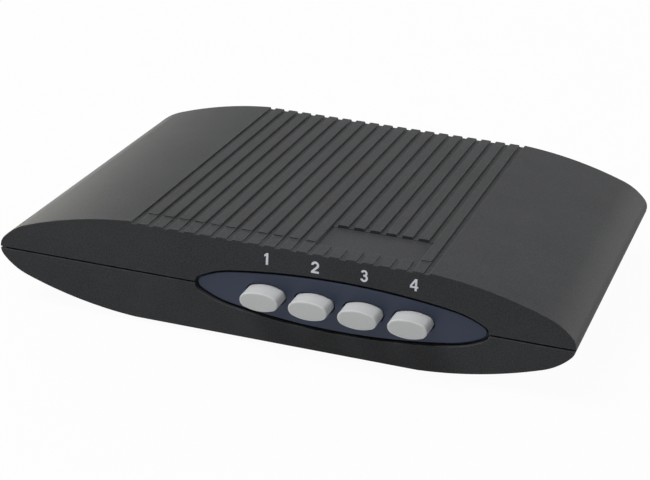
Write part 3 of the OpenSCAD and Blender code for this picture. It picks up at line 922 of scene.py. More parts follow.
@dataclass(frozen=True)
class BoardLaminate(Finish):
    """Glass laminate under green lacquer, with copper runs that show through."""

    lacquer: Colour
    copper: Colour
    shade: float = 0.75
    grain: float = 0.5 * MM
    run_pitch: float = 1.6 * MM
    run_length: float = 14.4 * MM
    run_width: float = 0.25 * MM
    run_height: float = 0.02 * MM
    dust: float = 0.15
    dust_colour: Colour = (0.3, 0.3, 0.28)
    roughness: tuple[float, float] = (0.28, 0.42)

    def mix(self, sheet: FinishSheet) -> None:
        """Lays the copper runs under a mottled lacquer, and dust on top.

        Args:
            sheet: The material's sheet.
        """
        grain = sheet.effect(Effect.MOULD_GRAIN, Cell=self.grain)
        dust = sheet.effect(Effect.SETTLED_DUST, Amount=self.dust)
        runs = sheet.add("ShaderNodeTexBrick", {
            "Vector": sheet.place(), "Scale": 1.0, "Mortar Size": self.run_width, "Mortar Smooth": 0.2,
            "Brick Width": self.run_length, "Row Height": self.run_pitch,
        })
        cover = sheet.mix(grain.outputs["Tone"], rgba(self.lacquer), lit(self.lacquer, self.shade))
        traced = sheet.mix(runs.outputs["Fac"], cover, rgba(self.copper))
        dusty = sheet.mix(dust.outputs["Mask"], traced, rgba(self.dust_colour))
        sheet.feed(sheet.shader.inputs["Base Color"], dusty)
        rough = sheet.span(grain.outputs["Tone"], 0.0, 1.0, *self.roughness)
        sheet.feed(sheet.shader.inputs["Roughness"], rough)
        sheet.raise_by(runs.outputs["Fac"], 0.5, self.run_height)
        sheet.constants(Coat_Weight=0.3, Coat_Roughness=0.2)


class Paint(Enum):
    """Every finish on the switch box."""

    # The strong edge lightening on the case is a painted highlight: light lines along the rib edges and the
    # front edges.
    CASE = MouldedPlastic("case_plastic", (0.035, 0.036, 0.038), (0.084, 0.0855, 0.088), 0.5,
                          specular=0.018, grain=0.42 * MM, depth=0.035 * MM, strength=0.8,
                          wear_and_highlight=0.8, wear_and_highlight_radius=0.3 * MM, dust=0.02)
    PANEL = MouldedPlastic("panel_plastic", (0.031, 0.042, 0.076), (0.043, 0.057, 0.095), 0.38,
                           grain=0.2 * MM, depth=0.01 * MM, dust=0.05)
    REAR = MouldedPlastic("rear_plastic", (0.012, 0.012, 0.013), (0.022, 0.022, 0.023), 0.5, specular=0.12)
    # The wide, near-white edge lightening on the caps is a painted highlight: the bright rim round each
    # cap's face and top.
    BUTTON = MouldedPlastic("button_plastic", (0.64, 0.65, 0.65), (0.73, 0.74, 0.74), 0.24, specular=0.1,
                            grain=0.24 * MM, depth=0.012 * MM, wear_and_highlight=0.8, wear_and_highlight_radius=0.8 * MM, dust=0.02)
    INK = MouldedPlastic("button_plastic", (0.80, 0.81, 0.88), (0.88, 0.89, 0.95), 0.5,
                         grain=0.12 * MM, depth=0.006 * MM, wear_and_highlight=0.0, dust=0.0)
    RUBBER = MouldedPlastic("foot_rubber", (0.014, 0.014, 0.014), (0.030, 0.030, 0.029), 0.78, specular=0.2,
                            grain=0.35 * MM, depth=0.03 * MM, dust=0.12, sheen=0.08)
    SWITCH = MouldedPlastic("switch_plastic", (0.010, 0.010, 0.011), (0.020, 0.020, 0.021), 0.45)
    WAFER = MouldedPlastic("wafer_plastic", (0.095, 0.055, 0.030), (0.13, 0.08, 0.045), 0.6)
    CORE = MouldedPlastic("socket_core", (0.010, 0.010, 0.011), (0.018, 0.018, 0.019), 0.4,
                          grain=0.15 * MM, depth=0.008 * MM)
    EPOXY = MouldedPlastic("chip_epoxy", (0.012, 0.012, 0.013), (0.024, 0.024, 0.025), 0.55,
                           grain=0.15 * MM)
    CERAMIC = MouldedPlastic("capacitor_ceramic", (0.25, 0.16, 0.09), (0.32, 0.21, 0.12), 0.5,
                             grain=0.2 * MM)
    SOCKET = PlatedMetal("socket_shell", (0.62, 0.62, 0.61), (0.42, 0.41, 0.39), 0.26)
    SCREW = PlatedMetal("screw_steel", (0.30, 0.30, 0.31), (0.16, 0.16, 0.16), 0.34)
    SPRING = PlatedMetal("spring_steel", (0.52, 0.52, 0.53), (0.33, 0.32, 0.30), 0.3)
    BRASS = PlatedMetal("contact_brass", (0.80, 0.58, 0.25), (0.55, 0.38, 0.18), 0.3)
    TIN = PlatedMetal("tinned_metal", (0.60, 0.60, 0.60), (0.44, 0.44, 0.43), 0.36)
    CAN = PlatedMetal("can_aluminium", (0.70, 0.70, 0.71), (0.55, 0.55, 0.55), 0.32)
    BOARD = BoardLaminate("board_laminate", (0.012, 0.085, 0.040), (0.035, 0.16, 0.062))

    def material(self) -> bpy.types.Material:
        """The finish's material, mixed the first time that it is asked for."""
        name = self.name.lower()
        return bpy.data.materials.get(name) or self.value.material(name)


def hand_over(piece: Piece, paint: Paint, nodes: Sequence[str] = (), body: str = "root") -> Piece:
    """Paints a finished piece and hangs it on its body.

    Args:
        piece: The piece.
        paint: Its finish.
        nodes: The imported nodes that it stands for.
        body: The body that it rides on.

    Returns:
        The piece.
    """
    piece.data.materials.clear()
    piece.data.materials.append(paint.material())
    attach(piece, body)
    if nodes:
        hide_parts(*nodes)
    LOG.info("%s: %d faces, %s on %s", piece.name, len(piece.data.polygons), paint.name.lower(), body)
    return piece


@dataclass
class Case:
    """The two shells: a ribbed cover over a plain tray, with a thin dark line between them."""

    wall: float = 2.2 * MM
    nose_radius: float = 4.5 * MM
    nose_turn: float = math.radians(42)
    nose_rise: float = 0.5 * MM
    cheek_radius: float = 19.0 * MM
    shoulder_radius: float = 130.0 * MM
    belly: float = 0.2 * MM
    nose_steps: int = 7
    cheek_steps: int = 12
    shoulder_steps: int = 16
    seam_ease: float = 0.06 * MM
    edge: float = 0.13 * MM
    past: float = 1.0 * MM
    rib_pitch: float = 5.0 * MM
    groove_mouth: float = 2.0 * MM
    groove_floor: float = 1.5 * MM
    groove_depth: float = 0.8 * MM
    last_groove: int = 9
    strip_length: float = 8.3 * MM
    strip_drop: float = 0.36 * MM
    recess_first: int = 2
    recess_last: int = 8
    recess_length: float = 15.4 * MM
    recess_drop: float = 0.3 * MM
    rear_strip: float = 4.4 * MM
    rear_drop: float = 0.2 * MM
    opening_height: float = 16.8 * MM
    opening_end: float = 2.75 * MM
    opening_turn: float = math.radians(61)
    opening_side: float = 30.0 * MM
    tip_steps: int = 10
    long_steps: int = 30
    flange_lap: float = 1.6 * MM
    rear_height: float = 10.0 * MM
    pillar: Point = (65.5 * MM, 20.0 * MM)
    pillar_radius: float = 4.6 * MM
    boss_radius: float = 4.0 * MM
    pillar_rise: float = 2.0 * MM
    post_room: float = 10.0 * MM
    well_radius: float = 2.9 * MM
    well_roof: float = 8.0 * MM
    bore_radius: float = 1.6 * MM
    standoff_radius: float = 3.0 * MM
    board_head_radius: float = 2.2 * MM
    foot_end: float = 15.0 * MM
    foot_radius: float = 5.1 * MM
    foot_pocket: float = 0.8 * MM
    foot_across: float = 38.0 * MM
    foot_sides: int = 48
    lip: Point = (1.2 * MM, 1.5 * MM)
    lip_gap: float = 0.2 * MM
    lip_root: float = 2.0 * MM

    def __post_init__(self) -> None:
        """Takes the case's main places from the frame."""
        low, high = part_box("top_cover")
        self.front, self.rear, self.top = low.y, high.y, high.z
        self.half_width = (high.x - low.x) / 2
        cap_low, cap_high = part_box("button_cap_1")
        self.seam = (cap_low.z + cap_high.z) / 2
        self.half_gap = low.z - self.seam + self.seam_ease
        self.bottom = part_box("base_tray")[0].z
        panel_low, panel_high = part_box("front_panel")
        self.opening_x = (panel_low.x + panel_high.x) / 2
        self.opening_length = panel_high.x - panel_low.x - 2 * self.flange_lap
        rear_low, rear_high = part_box("rear_panel")
        self.rear_half = (rear_high.x - rear_low.x) / 2 - self.flange_lap
        self.rear_middle = (rear_low.z + rear_high.z) / 2
        self.board_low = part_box("main_board")[0].z

    def section(self, height: float, rise: float, inset: float, reach: float = 0.0) -> Outline:
        """Half of the lens-shaped section above the seam, with the seam at zero.

        Args:
            height: Height of the flat above the seam.
            rise: Height of the side edge's centre above the seam.
            inset: How far the outline lies inside the outer surface.
            reach: How far straight sides run on past the seam.

        Returns:
            The outline.
        """
        nose, long = self.nose_radius - inset, self.shoulder_radius - inset
        nose_x = self.half_width - self.nose_radius
        step = self.cheek_radius - self.nose_radius
        cheek_x = nose_x - step * math.cos(self.nose_turn)
        cheek_z = rise - step * math.sin(self.nose_turn)
        crest_z = height + self.belly - self.shoulder_radius
        span = self.shoulder_radius - self.cheek_radius
        crest_x = cheek_x - math.sqrt(span**2 - (cheek_z - crest_z) ** 2)
        join = math.atan2(cheek_z - crest_z, cheek_x - crest_x)
        flat = math.asin((height - inset - crest_z) / long)
        first = math.asin((self.half_gap - rise) / nose)
        side_x = nose_x + nose * math.cos(first)
        flat_x = crest_x + long * math.cos(flat)
        side = (
            Arc((nose_x, rise), self.nose_turn - first, self.nose_steps),
            Arc((cheek_x, cheek_z), join - self.nose_turn, self.cheek_steps),
            Arc((crest_x, crest_z), flat - join, self.shoulder_steps),
        )
        far_side = (arc.changed(lambda p: (-p[0], p[1]), 1.0) for arc in reversed(side))
        arcs = (*side, Line((-flat_x, height - inset)), *far_side)
        if reach == 0.0:
            return Outline((side_x, self.half_gap), arcs)
        return Outline((side_x, -reach), (Line((side_x, self.half_gap)), *arcs, Line((-side_x, -reach))))

    def cover_section(self, inset: float, reach: float = 0.0) -> Outline:
        """The cover's section in the frame, moved inwards by inset."""
        return self.section(self.top - self.seam, self.nose_rise, inset, reach).moved(0.0, self.seam)

    def tray_section(self, inset: float, reach: float = 0.0) -> Outline:
        """The tray's section in the frame, moved inwards by inset."""
        drawn = self.section(self.seam - self.bottom, -self.nose_rise, inset, reach)
        return drawn.upside_down().moved(0.0, self.seam)

    def opening(self, grow: float) -> Outline:
        """The lens-shaped opening of the button panel.

        Args:
            grow: How far the outline lies outside the opening's edge.

        Returns:
            The outline.
        """
        turn, rise = self.opening_turn, self.opening_height / 2
        end_x = self.opening_length / 2 - self.opening_end
        step = self.opening_side - self.opening_end
        side_x, side_z = end_x - step * math.cos(turn), -step * math.sin(turn)
        drop = side_z - rise
        long = (self.opening_side**2 - side_x**2 - drop**2) / (2 * (drop + self.opening_side))
        join = math.atan2(drop + long, side_x)
        end = self.opening_end + grow
        moves: list[Arc] = []
        for side in (1, -1):
            moves += [
                Arc((side * end_x, 0.0), 2 * turn, self.tip_steps),
                Arc((side * side_x, side * side_z), join - turn, self.tip_steps),
                Arc((0.0, side * (rise - long)), math.pi - 2 * join, self.long_steps),
                Arc((-side * side_x, side * side_z), join - turn, self.tip_steps),
            ]
        start = (end_x + end * math.cos(turn), -end * math.sin(turn))
        return Outline(start, tuple(moves)).moved(self.opening_x, self.seam)

    def oval_block(self, grow: float, near: float, far: float) -> Piece:
        """A prism that fills the button panel's opening, made larger by grow all round."""
        return Bench.prism("oval_cut", View.FRONT, self.opening(grow), near, far)

    def rear_block(self, grow: float, near: float, far: float) -> Piece:
        """A box that fills the sockets' window, made larger by grow all round."""
        half, rise = self.rear_half + grow, self.rear_height / 2 + grow
        return Bench.block("rear_cut", Vector((-half, near, self.rear_middle - rise)),
                           Vector((half, far, self.rear_middle + rise)))

    def cut_openings(self, shell: Piece) -> None:
        """Cuts the button panel's oval and the sockets' window into a shell."""
        deep = 2 * self.wall
        Bench.combine(shell, self.oval_block(0.0, self.front - self.past, self.front + deep))
        Bench.combine(shell, self.rear_block(0.0, self.rear - deep, self.rear + self.past))

    def half_shell(self, name: str, section: Callable[..., Outline]) -> Piece:
        """Models a half of the case, hollow from the seam.

        Args:
            name: Name of the half.
            section: Its section, by inset and reach.

        Returns:
            The half.
        """
        shell = Bench.prism(name, View.FRONT, section(0.0), self.front, self.rear)
        hollow = Bench.prism("hollow", View.FRONT, section(self.wall, self.past),
                             self.front + self.wall, self.rear - self.wall)
        Bench.combine(shell, hollow)
        return shell

    def trim(self, piece: Piece, section: Callable[..., Outline], reach: float = 0.0) -> None:
        """Trims what stands inside a half, so that it ends in the middle of the half's walls.

        Args:
            piece: What stands inside.
            section: The half's section, by inset and reach.
            reach: How far the piece may stand past the seam.
        """
        room = Bench.prism("room", View.FRONT, section(self.wall / 2, reach), self.front, self.rear)
        Bench.combine(piece, room, "INTERSECT")

    def corners(self, across: float, end: float) -> list[Point]:
        """Four places on the plan, across from the middle and end inside the front and rear faces."""
        return [(side * across, y) for side in (-1, 1) for y in (self.front + end, self.rear - end)]

    def pillars(self, name: str, radius: float, low: float, high: float) -> Piece:
        """Four upright rods at the case screws.

        Args:
            name: Name of the rods.
            radius: Their radius.
            low: Height of their lower ends.
            high: Height of their upper ends.

        Returns:
            The rods as one piece.
        """
        feet = [Vector((*place, low)) for place in self.corners(*self.pillar)]
        return Bench.join([Bench.rod(name, foot, radius, high - low) for foot in feet], name)

    def grooves(self, near: float, far: float) -> Piece:
        """A row of groove cutters over the whole ribbed field.

        Args:
            near: Depth of their front ends.
            far: Depth of their rear ends.

        Returns:
            The cutters as one piece.
        """
        flare = self.groove_mouth - self.groove_floor / 2
        drawn = Outline.polygon([
            (-self.groove_floor / 2, -self.groove_depth), (self.groove_floor / 2, -self.groove_depth),
            (flare, self.groove_depth), (-flare, self.groove_depth),
        ]).moved(-self.last_groove * self.rib_pitch, self.top)
        cutter = Bench.prism("groove_cut", View.FRONT, drawn, near, far)
        Bench.row(cutter, 2 * self.last_groove + 1, Vector((self.rib_pitch, 0.0, 0.0)))
        return cutter

    def cut_ribs(self, cover: Piece) -> None:
        """Cuts the ribbed field, its lowered strips and the bare label recess into the cover.

        Args:
            cover: The cover.
        """
        half_mouth = self.groove_mouth / 2
        strip = self.front + self.strip_length
        behind = strip + self.recess_length
        near, far = self.front - self.past, self.rear + self.past
        Bench.combine(cover, self.grooves(near, far))
        field = self.last_groove * self.rib_pitch + half_mouth
        foot = self.groove_floor / 2
        recess = (self.recess_first * self.rib_pitch - foot, self.recess_last * self.rib_pitch + foot)
        cuts = (
            (-field, field, near, strip, self.strip_drop),
            (-field, field, self.rear - self.rear_strip, far, self.rear_drop),
            (*recess, strip - half_mouth, behind, self.groove_depth + self.recess_drop),
        )
        for left, right, front, back, drop in cuts:
            low, high = Vector((left, front, self.top - drop)), Vector((right, back, self.top + self.past))
            Bench.combine(cover, Bench.block("field_cut", low, high))

    def on_ends(self, first: Vector, second: Vector) -> bool:
        """Whether an edge lies in the front face or in the rear face."""
        return any(max(abs(first.y - y), abs(second.y - y)) < WELD for y in (self.front, self.rear))

    def build_cover(self) -> Piece:
        """Models the ribbed cover.

        Returns:
            The cover.
        """
        cover = self.half_shell("cover_shell", self.cover_section)
        low = self.seam + self.pillar_rise + self.lip_gap / 2
        bosses = self.pillars("bosses", self.boss_radius, low, self.top)
        self.trim(bosses, self.cover_section)
        Bench.combine(cover, bosses, "UNION")
        self.cut_openings(cover)
        self.cut_ribs(cover)
        ribs_from = self.top - self.groove_depth / 2
        Bench.round_edges(cover, self.edge, lambda a, b: self.on_ends(a, b)
                          or (min(a.z, b.z) > ribs_from and abs(a.x - b.x) < WELD))
        Bench.smooth(cover)
        return hand_over(cover, Paint.CASE, ["top_cover"])

    def lip_ring(self, outer: float, end: float, low: float, high: float) -> Piece:
        """A square ring inside the walls.

        Args:
            outer: How far it reaches to the sides.
            end: How far its ends lie inside the front and rear faces.
            low: Height of its lower edge.
            high: Height of its upper edge.

        Returns:
            The ring.
        """
        thick = self.lip[0] + self.wall + self.lip_gap - end
        ring = Bench.block("ring", Vector((-outer, self.front + end, low)),
                           Vector((outer, self.rear - end, high)))
        inner = self.half_width - self.wall - 2 * self.lip_gap - self.lip[0]
        core = Bench.block("ring_core", Vector((-inner, self.front + end + thick, low - self.past)),
                           Vector((inner, self.rear - end - thick, high + self.past)))
        Bench.combine(ring, core)
        return ring

    def posts(self) -> Piece:
        """The pillars of the case screws and the standoffs of the board.

        Returns:
            The posts as one piece, trimmed to the tray.
        """
        posts = self.pillars("posts", self.pillar_radius, 0.0, self.seam + self.pillar_rise)
        low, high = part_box("board_screws")
        head = self.board_head_radius
        for across in (low.x + head, high.x - head):
            for along in (low.y + head, high.y - head):
                rod = Bench.rod("stand", Vector((across, along, 0.0)), self.standoff_radius, self.board_low)
                Bench.combine(posts, rod, "UNION")
        self.trim(posts, self.tray_section, self.post_room)
        return posts

    def guide(self) -> Piece:
        """The lip that guides the cover, rooted in the tray's walls and open at both inserts.

        Returns:
            The lip.
        """
        low = self.seam - self.lip_root
        inside = self.half_width - self.wall - 2 * self.lip_gap
        guide = self.lip_ring(inside, self.wall + self.lip_gap, low, self.seam + self.lip[1])
        half_wall = self.wall / 2
        root = self.lip_ring(self.half_width - half_wall, half_wall, low, self.seam - self.half_gap)
        self.trim(root, self.tray_section)
        Bench.combine(guide, root, "UNION")
        clear, deep = self.flange_lap + self.past, 4 * self.wall
        Bench.combine(guide, self.oval_block(clear, self.front + self.wall, self.front + deep))
        Bench.combine(guide, self.rear_block(clear, self.rear - deep, self.rear - self.wall))
        return guide

    def build_tray(self) -> Piece:
        """Models the plain tray with its lip, posts, screw wells and foot pockets.

        Returns:
            The tray.
        """
        tray = self.half_shell("tray_shell", self.tray_section)
        Bench.combine(tray, self.posts(), "UNION")
        Bench.combine(tray, self.guide(), "UNION")
        self.cut_openings(tray)
        Bench.combine(tray, self.pillars("wells", self.well_radius, -self.past, self.seam - self.well_roof))
        Bench.combine(tray, self.pillars("bores", self.bore_radius, -self.past, self.top))
        depth = self.bottom + self.foot_pocket + self.past
        for place in self.corners(self.foot_across, self.foot_end):
            foot = Vector((*place, -self.past))
            Bench.combine(tray, Bench.rod("pocket", foot, self.foot_radius, depth, self.foot_sides))
        Bench.round_edges(tray, self.edge, lambda a, b: self.on_ends(a, b)
                          or max(a.z, b.z) < self.bottom + WELD)
        Bench.smooth(tray)
        return hand_over(tray, Paint.CASE, ["base_tray"])


@dataclass
class ButtonPanel:
    """The bowed oval insert that the buttons stand in, and the numbers printed over them."""

    case: Case
    gap: float = 0.8 * MM
    recess: float = 0.2 * MM
    bow: float = 0.9 * MM
    bow_steps: int = 11
    flange_gap: float = 0.1 * MM
    edge: float = 0.25 * MM
    number_rise: float = 9.6 * MM
    number_pitch: float = 14.87 * MM
    number_width: float = 2.4 * MM
    ink: float = 0.03 * MM

    def build_insert(self, holes: Sequence[Piece]) -> Piece:
        """Models the insert.

        Args:
            holes: Cutters for the button holes.

        Returns:
            The insert.
        """
        case = self.case
        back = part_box("front_panel")[1].y
        nose = case.front + self.recess
        insert = Bench.prism("panel_insert", View.FRONT, case.opening(-self.gap), nose, back)
        half = case.opening_length / 2
        radius = (half**2 + self.bow**2) / (2 * self.bow)
        plan = Outline((-half, nose + self.bow), (
            Arc((0.0, nose + radius), 2 * math.asin(half / radius), self.bow_steps),
            Line((half, back + case.past)),
            Line((-half, back + case.past)),
        )).moved(case.opening_x, 0.0)
        Bench.combine(insert, Bench.prism("bow", View.PLAN, plan, case.bottom, case.top), "INTERSECT")
        flange_front = case.front + case.wall + self.flange_gap
        flange = Bench.prism("flange", View.FRONT, case.opening(case.flange_lap), flange_front, back)
        Bench.combine(insert, flange, "UNION")
        for hole in holes:
            Bench.combine(insert, hole)
        rim = nose + self.bow + WELD
        Bench.round_edges(insert, self.edge, lambda a, b: max(a.y, b.y) < rim, segments=3)
        Bench.smooth(insert)
        return hand_over(insert, Paint.PANEL, ["front_panel"])

    @staticmethod
    def digits() -> tuple[Outline, ...]:
        """Plain upright numbers from 1 to 4, drawn in millimetres from their lower left corners.

        Returns:
            The outlines in order.
        """
        outer, inner = 20, 16  # edges of the outer and inner curves
        one = Outline.polygon([
            (0.95, 0.0), (1.65, 0.0), (1.65, 3.7), (1.1, 3.7), (0.4, 3.05), (0.4, 2.45), (0.95, 2.8),
        ])
        bowl, sweep = (1.2, 2.5), math.radians(215)
        two = Outline((0.0, 2.5), (
            Arc(bowl, -sweep, outer), Line((1.02, 0.66)), Line((2.4, 0.66)), Line((2.4, 0.0)),
            Line((0.0, 0.0)), Line((0.0, 0.52)), Line((1.61, 2.213)), Arc(bowl, sweep, outer),
        ))
        upper, lower = (1.15, 2.68), (1.2, 1.15)
        three = Outline((0.165, 2.944), (
            Arc(upper, -math.radians(204.4), outer), Arc(lower, -math.radians(215.1), outer),
            Line((0.717, 1.021)), Arc(lower, math.radians(240), inner), Line((0.95, 1.65)),
            Line((0.95, 2.27)), Line((1.219, 2.286)), Arc(upper, math.radians(245), inner),
        ))
        four = Outline.polygon([
            (1.45, 0.0), (2.1, 0.0), (2.1, 0.85), (2.5, 0.85), (2.5, 1.43), (2.1, 1.43), (2.1, 3.7),
            (1.4, 3.7), (0.0, 1.5), (0.0, 0.85), (1.45, 0.85),
        ])
        return tuple(drawn.scaled(MM) for drawn in (one, two, three, four))

    @staticmethod
    def eye() -> Outline:
        """The hole in the number 4."""
        return Outline.polygon([(0.6, 1.43), (1.45, 1.43), (1.45, 2.78)]).scaled(MM)

    def build_numbers(self, first: float) -> None:
        """Prints a number over each button.

        Args:
            first: Middle of the first number.
        """
        case = self.case
        near, far = case.front - self.ink, case.front + self.ink
        digits = self.digits()
        foot = case.seam + self.number_rise
        for number, drawn in enumerate(digits, start=1):
            left = first + (number - 1) * self.number_pitch - self.number_width / 2
            figure = Bench.prism(f"number_{number}", View.FRONT, drawn.moved(left, foot), near, far)
            if number == len(digits):
                hole = self.eye().moved(left, foot)
                Bench.combine(figure, Bench.prism("eye", View.FRONT, hole, near - self.ink, far + self.ink))
            Bench.round_edges(figure, self.ink / 2, lambda a, b: max(a.y, b.y) < near + WELD, segments=1)
            Bench.smooth(figure)
            hand_over(figure, Paint.INK)


@dataclass
class Buttons:
    """The four light oval caps."""

    case: Case
    count: int = 4
    slim: float = 0.2 * MM
    end_radius: float = 2.3 * MM
    arc_steps: int = 16
    gap: float = 0.3 * MM
    draft: float = 0.1 * MM
    edge: float = 0.32 * MM
    crown_inset: float = 0.7 * MM
    crown: float = 0.04 * MM
    socket: float = 4.2 * MM
    socket_depth: float = 6.0 * MM

    def __post_init__(self) -> None:
        """Takes the caps' size and places from the frame."""
        boxes = [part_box(f"button_cap_{number}") for number in range(1, self.count + 1)]
        self.places = [(low.x + high.x) / 2 for low, high in boxes]
        low, high = boxes[0]
        self.width, self.height = high.x - low.x - 2 * self.slim, high.z - low.z
        self.face, self.back = low.y, high.y

    def outline(self, grow: float, place: float) -> Outline:
        """A cap's outline, made larger by grow all round."""
        drawn = Outline.oval(self.width + 2 * grow, self.height + 2 * grow, self.end_radius + grow,
                             self.arc_steps, self.arc_steps)
        return drawn.moved(place, self.case.seam)

    def holes(self) -> list[Piece]:
        """Cutters for the holes that the caps run in."""
        near, far = self.case.front - self.case.past, self.back + self.case.past
        return [Bench.prism("hole", View.FRONT, self.outline(self.gap, x), near, far) for x in self.places]

    def build_first(self) -> Piece:
        """Models the cap of the first button.

        Returns:
            The cap.
        """
        middle = Vector((self.places[0], self.face, self.case.seam))
        cap = Bench.prism("cap_1", View.FRONT, self.outline(0.0, middle.x), self.face, self.back)
        with Bench.editing(cap):
            Bench.pick_faces(cap, lambda place, normal: normal.y < -FACING)
            shrink = (1 - 2 * self.draft / self.width, 1.0, 1 - 2 * self.draft / self.height)
            bpy.ops.transform.resize(value=shrink, center_override=middle)
        Bench.round_edges(cap, self.edge, lambda a, b: max(a.y, b.y) < self.face + WELD, segments=4)
        with Bench.editing(cap):
            Bench.pick_faces(cap, lambda place, normal: place.y < self.face + WELD)
            bpy.ops.mesh.inset(thickness=self.crown_inset)
            bpy.ops.transform.translate(value=(0.0, -self.crown, 0.0))
        half = self.socket / 2
        low = Vector((middle.x - half, self.back - self.socket_depth, middle.z - half))
        high = Vector((middle.x + half, self.back + self.case.past, middle.z + half))
        Bench.combine(cap, Bench.block("socket_cut", low, high))
        Bench.smooth(cap)
        return cap

    def build(self) -> None:
        """Models one cap and copies it to every button."""
        caps = Bench.copies(self.build_first(), "cap", self.places)
        for number, cap in enumerate(caps, start=1):
            hand_over(cap, Paint.BUTTON, [f"button_cap_{number}"], f"button_{number}")


@dataclass
class Sockets:
    """The rear insert and its row of sockets: folded shells, insulators and gilt contacts."""

    case: Case
    count: int = 5
    mouth_width: float = 14.0 * MM
    mouth_height: float = 4.55 * MM
    mouth_cut: float = 1.9 * MM
    sheet: float = 0.4 * MM
    corner: float = 0.55 * MM
    window_gap: float = 0.35 * MM
    panel_gap: float = 0.25 * MM
    flange_gap: float = 0.1 * MM
    core_length: float = 4.0 * MM
    core_gap: float = 0.05 * MM
    tongue_width: float = 11.2 * MM
    tongue_thick: float = 1.3 * MM
    tongue_in: float = 1.3 * MM
    tongue_up: float = 0.35 * MM
    tongue_edge: float = 0.25 * MM
    contact_width: float = 0.45 * MM
    contact_pitch: float = 1.0 * MM
    contact_in: float = 0.5 * MM
    contact_length: float = 5.6 * MM
    contact_proud: float = 0.05 * MM
    contacts: tuple[int, int] = (10, 9)
    finger_width: float = 1.5 * MM
    finger_dip: float = 0.4 * MM
    finger_across: float = 2.6 * MM
    finger_tip: float = 0.9 * MM
    finger_flat: Point = (2.4 * MM, 3.2 * MM)
    finger_root: float = 5.5 * MM
    tab_width: float = 1.2 * MM
    tab_from_back: float = 2.0 * MM
    tab_from_mouth: float = 6.0 * MM

    def __post_init__(self) -> None:
        """Takes the sockets' places from the frame."""
        boxes = [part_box(f"hdmi_shell_{number}") for number in range(1, self.count + 1)]
        self.places = [(low.x + high.x) / 2 for low, high in boxes]
        low, high = boxes[0]
        self.back, self.mouth = low.y, high.y
        self.tab_foot = low.z
        self.middle = high.z - self.sheet - self.mouth_height / 2

    def outline(self, grow: float, place: float) -> Outline:
        """A socket's outline, wide at the top with cut lower corners.

        Args:
            grow: How far the outline lies outside the mouth.
            place: Middle of the socket.

        Returns:
            The outline.
        """
        half, rise = self.mouth_width / 2 + grow, self.mouth_height / 2 + grow
        cut = self.mouth_cut + grow * (1 - math.sqrt(0.5))
        return Outline.polygon([
            (-half, rise), (-half, cut - rise), (cut - half, -rise),
            (half - cut, -rise), (half, cut - rise), (half, rise),
        ]).moved(place, self.middle)

    def build_panel(self) -> Piece:
        """Models the rear insert with its five windows.

        Returns:
            The insert.
        """
        case = self.case
        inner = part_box("rear_panel")[0].y
        panel = case.rear_block(-self.panel_gap, inner, case.rear)
        panel.name = "rear_insert"
        flange_rear = case.rear - case.wall - self.flange_gap
        Bench.combine(panel, case.rear_block(case.flange_lap, inner, flange_rear), "UNION")
        near, far = inner - case.past, case.rear + case.past
        for place in self.places:
            drawn = self.outline(self.sheet + self.window_gap, place)
            Bench.combine(panel, Bench.prism("window", View.FRONT, drawn, near, far))
        Bench.round_edges(panel, case.edge, case.on_ends)
        Bench.smooth(panel)
        return hand_over(panel, Paint.REAR, ["rear_panel"])

    def fingers(self, place: float) -> Piece:
        """The spring fingers that stand into the mouth from above and below.

        Args:
            place: Middle of the socket.

        Returns:
            The fingers as one piece.
        """
        rise, tips = self.mouth_height / 2, []
        bends = (self.finger_tip, *self.finger_flat, self.finger_root)
        heights = (self.sheet / 4, -self.finger_dip, -self.finger_dip, self.sheet / 4)
        upper = Outline.polygon([(self.mouth - bend, height) for bend, height in zip(bends, heights)])
        for side, finger in ((-1, upper.upside_down()), (1, upper)):
            drawn = finger.moved(0.0, self.middle + side * rise)
            for offset in (-self.finger_across, self.finger_across):
                left = place + offset - self.finger_width / 2
                tips.append(Bench.prism("finger", View.SIDE, drawn, left, left + self.finger_width))
        return Bench.join(tips, "fingers")

    def build_shell(self, place: float) -> Piece:
        """Models one plated shell: a rounded sleeve with rolled rim, spring fingers and solder tabs.

        Args:
            place: Middle of the socket.

        Returns:
            The shell.
        """
        shell = Bench.prism("shell_1", View.FRONT, self.outline(self.sheet, place), self.back, self.mouth)
        Bench.round_edges(shell, self.corner, lambda a, b: abs(a.y - b.y) > self.core_length, segments=4)
        with Bench.editing(shell):
            Bench.pick_faces(shell, lambda middle, normal: normal.y > FACING)
            bpy.ops.mesh.inset(thickness=self.sheet)
            depth = self.mouth - self.back - self.core_length / 2
            bpy.ops.mesh.extrude_region_move(TRANSFORM_OT_translate={"value": (0.0, -depth, 0.0)})
        Bench.combine(shell, self.fingers(place), "UNION")
        wide = self.mouth_width / 2 + self.sheet / 2
        reach = Vector((self.sheet, self.tab_width, self.middle - self.tab_foot))
        for side in (-1, 1):
            left = place + side * wide - self.sheet / 2
            for along in (self.back + self.tab_from_back, self.mouth - self.tab_from_mouth):
                corner = Vector((left, along - self.tab_width / 2, self.tab_foot))
                Bench.combine(shell, Bench.block("tab", corner, corner + reach), "UNION")
        Bench.round_edges(shell, self.sheet / 4, lambda a, b: min(a.y, b.y) > self.mouth - WELD)
        Bench.smooth(shell, CRISP_ANGLE)
        return shell

    def build_core(self, place: float) -> Piece:
        """Models one insulator: a block at the back and a thin tongue in the mouth.

        Args:
            place: Middle of the socket.

        Returns:
            The insulator.
        """
        block_end = self.back + self.core_length
        core = Bench.prism("core_1", View.FRONT, self.outline(-self.core_gap, place), self.back, block_end)
        level = self.middle + self.tongue_up
        half, thick, tip = self.tongue_width / 2, self.tongue_thick / 2, self.mouth - self.tongue_in
        tongue = Bench.block("tongue", Vector((place - half, block_end - self.case.past, level - thick)),
                             Vector((place + half, tip, level + thick)))
        Bench.round_edges(tongue, self.tongue_edge, lambda a, b: min(a.y, b.y) > tip - WELD)
        Bench.combine(core, tongue, "UNION")
        Bench.smooth(core, CRISP_ANGLE)
        return core

